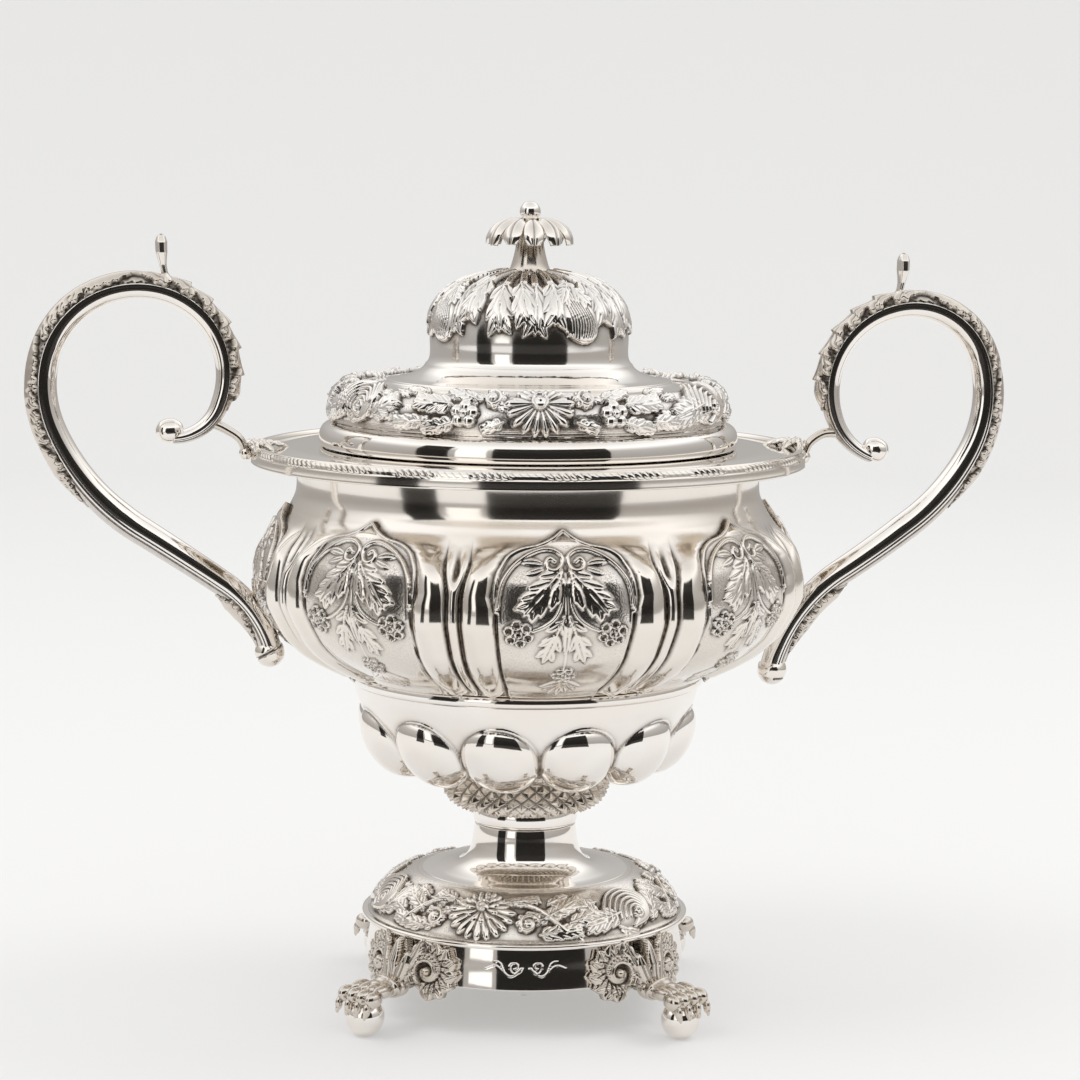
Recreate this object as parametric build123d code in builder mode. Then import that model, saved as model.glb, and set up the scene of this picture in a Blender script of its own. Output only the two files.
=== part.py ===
from build123d import *
import os
from math import cos, radians, sin

os.makedirs("parts", exist_ok=True)

# A covered sugar bowl of raised and cast silver. Millimetres, +Z up. The origin is on the axis of
# the bowl at table height, the handles lie along X, and the front of the bowl faces -Y.

# Driving dimensions
sheet = 1.2               # thickness of the raised silver sheet
gap = 0.1                 # air between the resting lid and the bowl

ball_r = 5.4              # balls under the feet
ball_ring_r = 62.0        # the balls stand on this circle
ball_flat_r = 1.6         # worn flat under each ball
base_turn = -8.0          # the foot is screwed on a little out of line with the handles
foot_count = 4

plinth_r = 46.1
plinth_bottom_z = 13.6
plinth_top_z = 25.2
plinth_top_r = 44.4       # the drum tapers a little
foot_join_r = 29.7        # where the trumpet stem meets the chased foot
foot_join_z = 38.4
stem_ring_z = 51.9
knop_z = 56.8
cup_z = 67.8
body_ring_z = 93.6
body_z = 96.8
flange_z = 161.3          # flat shelf on which the lid rests
neck_r = 57.4             # inside edge of the shelf
shelf_flat_r = 68.4       # the shelf is flat out to here, then slopes down to the border
border_inner_r = 75.8
border_outer_r = 79.0
border_bottom_z = 156.5

cup_lobes = 12
first_lobe = -106.5       # azimuth of one of the lobes of the cup
body_panels = 8
belly_z = 122.5           # height of the widest part of the belly
panel_bulge_ring = 54.6   # circle of the centres of the broad panels' bulges
lobe_bulge_ring = 66.4    # and of the narrow lobes between them
petals = 12

lid_z = flange_z + gap
lid_wall_r = 59.2
band_z = 167.0
shoulder_r = 48.4
dome_base_r = 29.4
dome_base_z = 184.4
dome_top_z = 210.4
flower_z = 224.4
finial_ball_r = 2.9
finial_ball_z = 227.9

tube_width = 6.8          # oval handle tube, across the handle's plane
tube_depth = 5.8          # and within it
bead_x = 80.6             # ball at the foot of each strut, from the axis
leaf_lift = 3.6           # cast leafage on the outer side, from the centre of the tube to its own

# Each handle was bent by hand, so the two differ a little. A handle's centre line is a chain of
# tangent arcs that starts at the ball inside the upper scroll: where it starts, its first heading
# in degrees, and each arc's radius and turn, where a turn clockwise is negative.
handles = {
    "right": {
        "turned": 0,
        "start": (100.4, 158.6),
        "heading": 160,
        "strut": (88.4, 165.6),
        "bead_z": 157.6,
        "thumb": (108.9, 205.4),
        "arcs": ((18.4, -57), (24.2, -96), (22.2, -83), (38.0, -41), (60.0, -26), (290, -5), (45.8, 44)),
    },
    "left": {
        "turned": 180,
        "start": (100.5, 164.8),
        "heading": 180,
        "strut": (88.6, 168.8),
        "bead_z": 159.4,
        "thumb": (104.0, 209.8),
        "arcs": ((13.3, -66), (23.7, -98), (26.5, -94), (33.2, -34), (61.0, -36), (800, 2), (32.8, 42)),
    },
}


def radial_plane(azimuth):
    """Upright plane through the axis: local x points outwards, local y points up."""
    out_x = cos(radians(azimuth))
    out_y = sin(radians(azimuth))
    return Plane(origin=(0, 0, 0), x_dir=(out_x, out_y, 0), z_dir=(out_y, -out_x, 0))


def side_plane(turned):
    """Plane of a handle: local x points away from the bowl, local y points up."""
    if turned:
        return Plane(origin=(0, 0, 0), x_dir=(-1, 0, 0), z_dir=(0, 1, 0))
    return Plane.XZ


def handle_curve(handle, first, last, lift=0, trim=1):
    """Draws arcs first to last of a handle, all moved outwards by lift, the last one trimmed."""
    x, y = handle["start"]
    heading = handle["heading"]
    for number, (radius, turn) in enumerate(handle["arcs"][:last + 1]):
        side = 1 if turn > 0 else -1
        centre_x = x - side * radius * sin(radians(heading))
        centre_y = y + side * radius * cos(radians(heading))
        start = (x - lift * sin(radians(heading)), y + lift * cos(radians(heading)))
        tangent = (cos(radians(heading)), sin(radians(heading)))
        if number >= first:
            JernArc(start, tangent, radius - side * lift, turn * (trim if number == last else 1))
        heading += turn
        x = centre_x + side * radius * sin(radians(heading))
        y = centre_y - side * radius * cos(radians(heading))


def facing_plane(azimuth, radius, height):
    """Upright plane at a radius, facing straight out: local x runs round, local y points up."""
    out_x = cos(radians(azimuth))
    out_y = sin(radians(azimuth))
    place = (radius * out_x, radius * out_y, height)
    return Plane(origin=place, x_dir=(-out_y, out_x, 0), z_dir=(out_x, out_y, 0))


# Plain plinth drum that tapers a little to the top, open underneath
with BuildPart() as plinth:
    with BuildSketch(Plane.XZ):
        with BuildLine():
            Polyline(
                (plinth_r, plinth_bottom_z),
                (plinth_top_r, plinth_top_z),
                (plinth_top_r - 2.4, plinth_top_z),
                (plinth_top_r - 2.4, plinth_top_z - sheet),
                (plinth_top_r - sheet, plinth_top_z - sheet),
                (plinth_r - sheet, plinth_bottom_z),
                close=True,
            )
        make_face()
    revolve(axis=Axis.Z)
plinth.part.label = "plinth"
export_step(plinth.part, "parts/plinth.step")

# Moulding between the plinth and the chased foot
with BuildPart() as foot_moulding:
    with BuildSketch(Plane.XZ):
        with BuildLine():
            Line((43.8, plinth_top_z), (46.4, plinth_top_z))
            ThreePointArc((46.4, plinth_top_z), (47.2, plinth_top_z + 0.8), (46.4, plinth_top_z + 1.6))
            Polyline((46.4, plinth_top_z + 1.6), (43.8, plinth_top_z + 1.6), (43.8, plinth_top_z))
        make_face()
    revolve(axis=Axis.Z)
foot_moulding.part.label = "foot_moulding"
export_step(foot_moulding.part, "parts/foot_moulding.step")

# The brackets are cut to this cone, which carries the plinth's taper on above and below it
core_height = 3 * (plinth_top_z - plinth_bottom_z)
plinth_taper = plinth_r - plinth_top_r

# Four balls, each with a small worn flat that stands on the table
for foot in range(foot_count):
    azimuth = 45 + base_turn + foot * 360 / foot_count
    centre_z = (ball_r**2 - ball_flat_r**2) ** 0.5
    ball_x = ball_ring_r * cos(radians(azimuth))
    ball_y = ball_ring_r * sin(radians(azimuth))
    with BuildPart(Plane(origin=(ball_x, ball_y, centre_z))) as foot_ball:
        Sphere(ball_r)
        split(bisect_by=Plane.XY, keep=Keep.TOP)
    foot_ball.part.label = f"foot_ball_{foot + 1}"
    export_step(foot_ball.part, f"parts/foot_ball_{foot + 1}.step")

    # Bracket: an acanthus leaf down the plinth with a scrolled rosette on either side
    with BuildPart() as foot_bracket:
        with BuildSketch(radial_plane(azimuth)):
            with BuildLine():
                Spline((44, 26.6), (49.5, 26.0), (53.6, 20.0), (54.0, 14.0), (52.5, 9.6))
                Polyline((52.5, 9.6), (49.0, 9.2), (46.5, 12.5), (44, 13.6), (44, 26.6))
            make_face()
        extrude(amount=4.6, both=True)
        for side in (-1, 1):
            with BuildSketch(facing_plane(azimuth + 11.5 * side, plinth_r - 1.4, 17.6)):
                Circle(7.4)
            extrude(amount=5.2)
        with Locations((0, 0, (plinth_bottom_z + plinth_top_z) / 2)):
            Cone(plinth_r + plinth_taper, plinth_top_r - plinth_taper, core_height, mode=Mode.SUBTRACT)
        add(foot_moulding.part, mode=Mode.SUBTRACT)
    foot_bracket.part.label = f"foot_bracket_{foot + 1}"
    export_step(foot_bracket.part, f"parts/foot_bracket_{foot + 1}.step")

    # Lion's paw: four toes that arch over the ball, on a short ankle
    outward_x = cos(radians(azimuth))
    outward_y = sin(radians(azimuth))
    paw_plane = Plane(origin=(0, 0, 0), x_dir=(outward_x, outward_y, 0), z_dir=(0, 0, 1))
    with BuildPart() as foot_paw:
        for toe in (-1.5, -0.5, 0.5, 1.5):
            with BuildLine(paw_plane) as toe_line:
                ThreePointArc((54, 2.6 * toe, 12.0), (62.5, 4.0 * toe, 13.0), (67.5, 5.6 * toe, 7.2))
            with BuildSketch(toe_line.line ^ 0):
                Circle(2.4)
            sweep()
        with BuildSketch(radial_plane(azimuth)):
            with BuildLine():
                Polyline(
                    (50.5, 13.5),
                    (49.5, 9.0),
                    (54, 8.6),
                    (60, 11.5),
                    (59, 14.0),
                    (55, 15.0),
                    close=True,
                )
            make_face()
        extrude(amount=4.8, both=True)
        add(foot_ball.part, mode=Mode.SUBTRACT)
        add(foot_bracket.part, mode=Mode.SUBTRACT)
    foot_paw.part.label = f"foot_paw_{foot + 1}"
    export_step(foot_paw.part, f"parts/foot_paw_{foot + 1}.step")

# Domed foot, raised from sheet
with BuildPart() as foot_dome:
    with BuildSketch(Plane.XZ):
        with BuildLine():
            Spline(
                (foot_join_r, foot_join_z),
                (34.0, 38.0),
                (39.4, 35.0),
                (43.0, 31.4),
                (44.9, plinth_top_z + 1.6),
                tangents=((1, 0), (0.2, -1)),
            )
        trace(line_width=sheet)
    revolve(axis=Axis.Z)
    add(foot_moulding.part, mode=Mode.SUBTRACT)
foot_dome.part.label = "foot_dome"
export_step(foot_dome.part, "parts/foot_dome.step")

# Trumpet stem
with BuildPart() as foot_spool:
    with BuildSketch(Plane.XZ):
        with BuildLine():
            Spline(
                (14.0, stem_ring_z),
                (14.8, 46.0),
                (17.2, 41.2),
                (22.5, 38.9),
                (foot_join_r, foot_join_z),
                tangents=((0.05, -1), (1, 0)),
            )
        trace(line_width=sheet)
    revolve(axis=Axis.Z)
foot_spool.part.label = "foot_spool"
export_step(foot_spool.part, "parts/foot_spool.step")

# Plain rounded ring on top of the stem
with BuildPart() as stem_ring:
    with BuildSketch(Plane.XZ):
        with BuildLine():
            Line((12.6, stem_ring_z), (13.9, stem_ring_z))
            ThreePointArc((13.9, stem_ring_z), (15.0, (stem_ring_z + knop_z) / 2), (13.9, knop_z))
            Polyline((13.9, knop_z), (12.6, knop_z), (12.6, stem_ring_z))
        make_face()
    revolve(axis=Axis.Z)
stem_ring.part.label = "stem_ring"
export_step(stem_ring.part, "parts/stem_ring.step")

# Knop collar: a shallow bowl chased all over with small diamonds
with BuildPart() as knop_collar:
    with BuildSketch(Plane.XZ):
        with BuildLine():
            Spline(
                (12.8, knop_z + sheet / 2),
                (17.6, 58.6),
                (21.6, 61.8),
                (23.2, cup_z),
                tangents=((1, 0), (0.05, 1)),
            )
        trace(line_width=sheet)
    revolve(axis=Axis.Z)
knop_collar.part.label = "knop_collar"
export_step(knop_collar.part, "parts/knop_collar.step")

# Lower cup: closed at the bottom, with tilted egg-shaped lobes raised all round it
lobe_places = []
for lobe in range(cup_lobes):
    azimuth = first_lobe + lobe * 360 / cup_lobes
    out_x = cos(radians(azimuth))
    out_y = sin(radians(azimuth))
    centre = (37.6 * out_x, 37.6 * out_y, 83.4)
    leaning_up = (0.6 * out_x, 0.6 * out_y, 0.8)
    lobe_places.append(Plane(origin=centre, x_dir=(-out_y, out_x, 0), z_dir=leaning_up))

with BuildPart() as egg:
    Sphere(10.2)
    scale(by=(1, 1, 1.2))

with BuildPart() as bowl_cup:
    with BuildSketch(Plane.XZ):
        with BuildLine():
            Line((0, cup_z), (24.0, cup_z))
            Spline(
                (24.0, cup_z),
                (32.5, 70.0),
                (39.0, 73.4),
                (44.2, 78.6),
                (48.2, 86.0),
                (49.8, body_ring_z),
            )
            Polyline((49.8, body_ring_z), (0, body_ring_z), (0, cup_z))
        make_face()
    revolve(axis=Axis.Z)
    with Locations(*lobe_places):
        add(egg.part)
    with BuildSketch(Plane.XY.offset(body_ring_z)):
        Circle(60)
    extrude(amount=10, mode=Mode.SUBTRACT)
    with BuildSketch(Plane.XZ):
        with BuildLine():
            Line((0, cup_z + sheet), (23.8, cup_z + sheet))
            Spline(
                (23.8, cup_z + sheet),
                (32.1, 71.1),
                (38.4, 74.4),
                (43.3, 79.4),
                (47.0, 86.4),
                (48.6, body_ring_z),
            )
            Polyline((48.6, body_ring_z), (0, body_ring_z), (0, cup_z + sheet))
        make_face()
    revolve(axis=Axis.Z, mode=Mode.SUBTRACT)
    add(knop_collar.part, mode=Mode.SUBTRACT)
bowl_cup.part.label = "bowl_cup"
export_step(bowl_cup.part, "parts/bowl_cup.step")

# Plain moulding between the cup and the body
with BuildPart() as body_ring:
    with BuildSketch(Plane.XZ):
        with BuildLine():
            Line((48.0, body_ring_z), (49.6, body_ring_z))
            ThreePointArc((49.6, body_ring_z), (51.0, (body_ring_z + body_z) / 2), (49.6, body_z))
            Polyline((49.6, body_z), (48.0, body_z), (48.0, body_ring_z))
        make_face()
    revolve(axis=Axis.Z)
body_ring.part.label = "body_ring"
export_step(body_ring.part, "parts/body_ring.step")

# Body: a full round belly below a short upright neck, with eight broad ornamental panels and a
# narrow plain lobe between each two
panel_places = []
lobe_bulge_places = []
for panel in range(body_panels):
    azimuth = panel * 360 / body_panels
    out_x = cos(radians(azimuth))
    out_y = sin(radians(azimuth))
    panel_centre = (panel_bulge_ring * out_x, panel_bulge_ring * out_y, belly_z)
    panel_places.append(Plane(origin=panel_centre, x_dir=(out_x, out_y, 0), z_dir=(0, 0, 1)))
    azimuth += 180 / body_panels
    out_x = cos(radians(azimuth))
    out_y = sin(radians(azimuth))
    lobe_centre = (lobe_bulge_ring * out_x, lobe_bulge_ring * out_y, belly_z)
    lobe_bulge_places.append(Plane(origin=lobe_centre, x_dir=(out_x, out_y, 0), z_dir=(0, 0, 1)))

with BuildPart() as panel_bulge:
    Sphere(24)
    scale(by=(1, 1.1, 1.05))

with BuildPart() as lobe_bulge:
    Sphere(12)
    scale(by=(1, 1, 1.9))

with BuildPart() as bowl_body:
    with BuildSketch(Plane.XZ):
        with BuildLine():
            Spline(
                (49.8, body_z),
                (58.5, 99.9),
                (66.6, 104.6),
                (72.8, 110.6),
                (77.0, 119.2),
                (77.4, 127.0),
                (75.6, 133.4),
                (72.4, 139.0),
                (68.6, 143.6),
                (66.4, 147.6),
                (66.1, 152.0),
                (66.6, 157.0),
                (67.6, flange_z - sheet),
            )
            Polyline((67.6, flange_z - sheet), (0, flange_z - sheet), (0, body_z), (49.8, body_z))
        make_face()
    revolve(axis=Axis.Z)
    with Locations(*panel_places):
        add(panel_bulge.part)
    with Locations(*lobe_bulge_places):
        add(lobe_bulge.part)
    with BuildSketch(Plane.XZ):
        with BuildLine():
            Spline(
                (48.0, body_z),
                (57.6, 100.9),
                (65.6, 105.4),
                (71.7, 111.2),
                (75.7, 119.4),
                (76.1, 126.8),
                (74.4, 132.8),
                (71.3, 138.2),
                (67.5, 142.8),
                (65.2, 147.4),
                (64.9, 152.0),
                (65.4, 157.2),
                (66.2, flange_z - sheet),
            )
            Polyline((66.2, flange_z - sheet), (0, flange_z - sheet), (0, body_z), (48.0, body_z))
        make_face()
    revolve(axis=Axis.Z, mode=Mode.SUBTRACT)
bowl_body.part.label = "bowl_body"
export_step(bowl_body.part, "parts/bowl_body.step")

# Flat shelf and sloping flange on which the lid stands
with BuildPart() as rim_flange:
    with BuildSketch(Plane.XZ):
        with BuildLine():
            Polyline(
                (neck_r, flange_z - sheet),
                (neck_r, flange_z),
                (shelf_flat_r, flange_z),
                (border_inner_r, flange_z - 0.8),
                (border_inner_r, flange_z - 0.8 - sheet),
                (shelf_flat_r, flange_z - sheet),
                close=True,
            )
        make_face()
    revolve(axis=Axis.Z)
rim_flange.part.label = "rim_flange"
export_step(rim_flange.part, "parts/rim_flange.step")

# Applied border: a gadrooned bead over a narrow upright band
with BuildPart() as rim_border:
    with BuildSketch(Plane.XZ):
        with BuildLine():
            Polyline(
                (border_inner_r, flange_z - 0.8),
                (border_inner_r, flange_z - 2.0),
                (border_outer_r - 1.4, border_bottom_z + 1.2),
                (border_outer_r - 1.4, border_bottom_z),
                (border_outer_r, border_bottom_z),
                (border_outer_r, flange_z - 1.2),
            )
            ThreePointArc(
                (border_outer_r, flange_z - 1.2),
                (77.6, flange_z + 0.2),
                (border_inner_r, flange_z - 0.8),
            )
        make_face()
    revolve(axis=Axis.Z)
rim_border.part.label = "rim_border"
export_step(rim_border.part, "parts/rim_border.step")

for name, handle in handles.items():
    outwards = -1 if handle["turned"] else 1
    plane = side_plane(handle["turned"])
    start_x, start_z = handle["start"]

    # Cast leaf that folds over the border where the strut meets it
    with BuildPart() as rim_leaf:
        with BuildSketch(Plane.XY.offset(flange_z - 1.1)):
            with Locations((outwards * 73.8, 0)):
                Ellipse(5.6, 9.0)
        extrude(amount=3.9, taper=28)
        add(rim_flange.part, mode=Mode.SUBTRACT)
        add(rim_border.part, mode=Mode.SUBTRACT)
    rim_leaf.part.label = f"rim_leaf_{name}"
    export_step(rim_leaf.part, f"parts/rim_leaf_{name}.step")

    # Oval tube, from the ball in the upper scroll round to the foot of the handle
    with BuildPart() as handle_tube:
        with BuildLine(plane) as centre_line:
            handle_curve(handle, 0, 6)
        with BuildSketch(centre_line.line ^ 0):
            Ellipse(tube_depth / 2, tube_width / 2)
        sweep()
        add(bowl_body.part, mode=Mode.SUBTRACT)
    handle_tube.part.label = f"handle_tube_{name}"
    export_step(handle_tube.part, f"parts/handle_tube_{name}.step")

    # Cast leafage laid along the outside of the tube
    with BuildPart() as handle_leafage:
        with BuildLine(plane) as leaf_line:
            handle_curve(handle, 1, 4, lift=leaf_lift, trim=0.6)
        with BuildSketch(leaf_line.line ^ 0):
            Ellipse(1.6, 4.0)
        sweep()
        add(handle_tube.part, mode=Mode.SUBTRACT)
    handle_leafage.part.label = f"handle_leafage_{name}"
    export_step(handle_leafage.part, f"parts/handle_leafage_{name}.step")

    # Separate leaf outside the foot of the handle
    with BuildPart() as foot_leaf:
        with BuildLine(plane) as leaf_line:
            handle_curve(handle, 6, 6, lift=leaf_lift, trim=0.9)
        with BuildSketch(leaf_line.line ^ 0):
            Ellipse(1.2, 3.6)
        sweep()
        add(handle_tube.part, mode=Mode.SUBTRACT)
    foot_leaf.part.label = f"handle_foot_leaf_{name}"
    export_step(foot_leaf.part, f"parts/handle_foot_leaf_{name}.step")
    tube_foot = centre_line.line @ 1

    # Ball at the centre of the upper scroll
    with BuildPart() as handle_ball:
        with Locations((outwards * (start_x + 1.4), 0, start_z + 1.0)):
            Sphere(3.5)
        add(handle_tube.part, mode=Mode.SUBTRACT)
    handle_ball.part.label = f"handle_ball_{name}"
    export_step(handle_ball.part, f"parts/handle_ball_{name}.step")

    # Rolled end at the foot of the handle
    with BuildPart() as handle_end:
        with Locations(tube_foot):
            Sphere(4.2)
        add(handle_tube.part, mode=Mode.SUBTRACT)
        add(foot_leaf.part, mode=Mode.SUBTRACT)
        add(bowl_body.part, mode=Mode.SUBTRACT)
    handle_end.part.label = f"handle_end_{name}"
    export_step(handle_end.part, f"parts/handle_end_{name}.step")

    # Strut from the scroll down to the border, with a small ball at its foot
    strut_x, strut_z = handle["strut"]
    bead_z = handle["bead_z"]
    with BuildPart() as strut:
        with BuildLine(plane) as strut_line:
            ThreePointArc((strut_x, strut_z), (bead_x + 4.4, bead_z + 6.0), (bead_x, bead_z))
        with BuildSketch(strut_line.line ^ 0):
            Circle(1.3)
        sweep()
        with Locations(plane.from_local_coords((bead_x, bead_z, 0))):
            Sphere(1.8)
        add(handle_tube.part, mode=Mode.SUBTRACT)
        add(rim_border.part, mode=Mode.SUBTRACT)
        add(rim_leaf.part, mode=Mode.SUBTRACT)
    strut.part.label = f"handle_strut_{name}"
    export_step(strut.part, f"parts/handle_strut_{name}.step")

    # Upright leaf on top of the scroll, a rest for the thumb
    thumb_x, thumb_z = handle["thumb"]
    thumb_plane = Plane(origin=(outwards * thumb_x, 0, thumb_z), x_dir=(0, 1, 0), z_dir=(1, 0, 0))
    with BuildPart() as thumb_piece:
        with BuildSketch(thumb_plane):
            with BuildLine():
                Spline((-2.6, 0), (-1.7, 2.4), (-3.4, 6.2), (-2.6, 9.6), (0, 11.4))
                Spline((2.6, 0), (1.7, 2.4), (3.4, 6.2), (2.6, 9.6), (0, 11.4))
                Line((-2.6, 0), (2.6, 0))
            make_face()
        extrude(amount=1.6, both=True)
        add(handle_leafage.part, mode=Mode.SUBTRACT)
        add(handle_tube.part, mode=Mode.SUBTRACT)
    thumb_piece.part.label = f"thumb_piece_{name}"
    export_step(thumb_piece.part, f"parts/thumb_piece_{name}.step")

# Bezel: a plain ring inside the lid that drops into the neck
with BuildPart() as lid_bezel:
    with BuildSketch(Plane.XZ):
        with BuildLine():
            Polyline(
                (55.0, 154.6),
                (55.0, lid_z + 1.0),
                (lid_wall_r - 1.7, lid_z + 1.0),
                (lid_wall_r - 1.7, lid_z),
                (56.2, lid_z),
                (56.2, 154.6),
                close=True,
            )
        make_face()
    revolve(axis=Axis.Z)
lid_bezel.part.label = "lid_bezel"
export_step(lid_bezel.part, "parts/lid_bezel.step")

# Plain upright wall of the lid with a narrow ledge on top
with BuildPart() as lid_wall:
    with BuildSketch(Plane.XZ):
        with BuildLine():
            Line((lid_wall_r, lid_z), (lid_wall_r, 164.6))
            ThreePointArc((lid_wall_r, 164.6), (58.9, 165.5), (58.0, 166.0))
            Polyline((58.0, 166.0), (53.6, band_z), (53.6, band_z - sheet), (57.6, 164.8), (57.6, lid_z))
            Line((57.6, lid_z), (lid_wall_r, lid_z))
        make_face()
    revolve(axis=Axis.Z)
lid_wall.part.label = "lid_wall"
export_step(lid_wall.part, "parts/lid_wall.step")

# Chased band: a fat half-round ring raised from sheet
with BuildPart() as lid_band:
    with BuildSketch(Plane.XZ):
        with BuildLine():
            Spline(
                (54.2, band_z),
                (56.0, 169.8),
                (56.1, 173.4),
                (54.4, 177.2),
                (51.4, 179.5),
                (shoulder_r, 179.0),
            )
        trace(line_width=sheet)
    revolve(axis=Axis.Z)
    add(lid_wall.part, mode=Mode.SUBTRACT)
lid_band.part.label = "lid_band"
export_step(lid_band.part, "parts/lid_band.step")

# Plain hollow shoulder with a fine step half-way
with BuildPart() as lid_shoulder:
    with BuildSketch(Plane.XZ):
        with BuildLine():
            Spline((shoulder_r, 178.6), (44.6, 179.0), (40.8, 179.6))
        trace(line_width=sheet)
        with BuildLine():
            Spline((41.0, 180.2), (35.4, 181.2), (31.2, 182.9), (dome_base_r, dome_base_z))
        trace(line_width=sheet)
    revolve(axis=Axis.Z)
    add(lid_band.part, mode=Mode.SUBTRACT)
lid_shoulder.part.label = "lid_shoulder"
export_step(lid_shoulder.part, "parts/lid_shoulder.step")

# Domed crown of the lid
with BuildPart() as lid_dome:
    with BuildSketch(Plane.XZ):
        with BuildLine():
            Spline(
                (2.5, dome_top_z - sheet / 2),
                (8.0, 209.6),
                (15.2, 208.4),
                (21.8, 205.0),
                (26.2, 199.8),
                (28.0, 194.0),
                (28.0, 189.0),
                (dome_base_r, dome_base_z + 0.6),
                tangents=((1, 0), (0.5, -1)),
            )
        trace(line_width=sheet)
    revolve(axis=Axis.Z)
    add(lid_shoulder.part, mode=Mode.SUBTRACT)
lid_dome.part.label = "lid_dome"
export_step(lid_dome.part, "parts/lid_dome.step")

# Concave stem of the finial
with BuildPart() as finial_stem:
    with BuildSketch(Plane.XZ):
        with BuildLine():
            Line((0, dome_top_z - 0.2), (6.1, dome_top_z - 0.2))
            Spline((6.1, dome_top_z - 0.2), (4.9, 214.3), (3.8, 218.9), (3.4, flower_z))
            Polyline((3.4, flower_z), (0, flower_z), (0, dome_top_z - 0.2))
        make_face()
    revolve(axis=Axis.Z)
    add(lid_dome.part, mode=Mode.SUBTRACT)
finial_stem.part.label = "finial_stem"
export_step(finial_stem.part, "parts/finial_stem.step")

# Flower: drooping petals round the top of the stem
with BuildPart() as finial_flower:
    with BuildSketch(Plane.XY.offset(flower_z)):
        Circle(5.0)
    extrude(amount=1.4)
    for petal in range(petals):
        azimuth = petal * 360 / petals
        with BuildLine(radial_plane(azimuth)) as petal_line:
            ThreePointArc((3.0, flower_z + 0.6), (9.4, flower_z - 0.6), (12.2, flower_z - 5.6))
        with BuildSketch(facing_plane(azimuth, 3.0, flower_z + 0.6)):
            Ellipse(2.5, 0.6)
        sweep(path=petal_line.line)
    add(finial_stem.part, mode=Mode.SUBTRACT)
finial_flower.part.label = "finial_flower"
export_step(finial_flower.part, "parts/finial_flower.step")

# Ball on top
with BuildPart() as finial_ball:
    with Locations((0, 0, finial_ball_z)):
        Sphere(finial_ball_r)
    add(finial_flower.part, mode=Mode.SUBTRACT)
finial_ball.part.label = "finial_ball"
export_step(finial_ball.part, "parts/finial_ball.step")
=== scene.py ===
import bpy
import numpy as np
from math import atan2, cos, pi, radians, sin
from mathutils import Matrix, Vector


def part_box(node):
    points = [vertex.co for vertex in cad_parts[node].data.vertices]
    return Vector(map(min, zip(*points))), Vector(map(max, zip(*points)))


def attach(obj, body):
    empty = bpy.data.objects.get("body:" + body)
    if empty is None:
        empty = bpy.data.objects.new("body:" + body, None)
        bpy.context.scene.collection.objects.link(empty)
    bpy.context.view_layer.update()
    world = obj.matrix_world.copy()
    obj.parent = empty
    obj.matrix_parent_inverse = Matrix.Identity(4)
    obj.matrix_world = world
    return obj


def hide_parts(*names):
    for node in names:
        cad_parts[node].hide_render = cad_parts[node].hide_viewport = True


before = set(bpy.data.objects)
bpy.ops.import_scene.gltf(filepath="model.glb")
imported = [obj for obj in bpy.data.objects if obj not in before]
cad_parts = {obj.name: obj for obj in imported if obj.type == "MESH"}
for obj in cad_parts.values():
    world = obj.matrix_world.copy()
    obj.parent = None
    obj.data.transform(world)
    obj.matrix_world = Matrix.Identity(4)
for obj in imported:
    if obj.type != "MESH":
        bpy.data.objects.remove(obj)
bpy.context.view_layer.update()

# A covered silver sugar bowl. Lengths in this script are millimetres in the CAD frame until a
# mesh is made; angles are degrees round the axis of the bowl, 0 towards +X and -90 to the front.

MM = 0.001
FULL = 360.0
rng = np.random.default_rng(7)


# ---------------------------------------------------------------- curves

def smooth(points, count, closed=False):
    """Evenly spaced points on a Catmull-Rom curve through the given ones."""
    p = np.array(points, float)
    first = p[-1] if closed else 2 * p[0] - p[1]
    last = p[0] if closed else 2 * p[-1] - p[-2]
    q = np.vstack([first, p, last])
    out = []
    for k in range(1, len(q) - 2):
        a, b, c, d = q[k - 1], q[k], q[k + 1], q[k + 2]
        t = np.linspace(0, 1, 24, endpoint=False)[:, None]
        square = (2 * a - 5 * b + 4 * c - d) * t**2
        cube = (3 * b - a - 3 * c + d) * t**3
        out.append(0.5 * (2 * b + (c - a) * t + square + cube))
    out.append(p[-1:])
    return even(np.vstack(out), count)


def even(points, count):
    """The same line cut into evenly spaced points."""
    p = np.array(points, float)
    length = np.r_[0, np.cumsum(np.linalg.norm(np.diff(p, axis=0), axis=1))]
    want = np.linspace(0, length[-1], count)
    return np.stack([np.interp(want, length, p[:, k]) for k in range(p.shape[1])], axis=1)


def smooth_step(t):
    """0 below 0, 1 above 1, and a smooth rise between."""
    t = np.clip(t, 0, 1)
    return t * t * (3 - 2 * t)


def line_length(points):
    return float(np.linalg.norm(np.diff(np.array(points, float), axis=0), axis=1).sum())


def spiral(x, y, outer, inner, start, turns, count=40):
    """A spiral from its outer end to its eye; turns below zero run clockwise."""
    t = np.linspace(0, 1, count)
    angle = np.radians(start) + 2 * pi * turns * t
    radius = outer + (inner - outer) * t**0.8
    return np.stack([x + radius * np.cos(angle), y + radius * np.sin(angle)], axis=1)


# ---------------------------------------------------------------- chased relief

UNTOUCHED = -9.0    # a height below any relief, so that the ground there stays as it was


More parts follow.
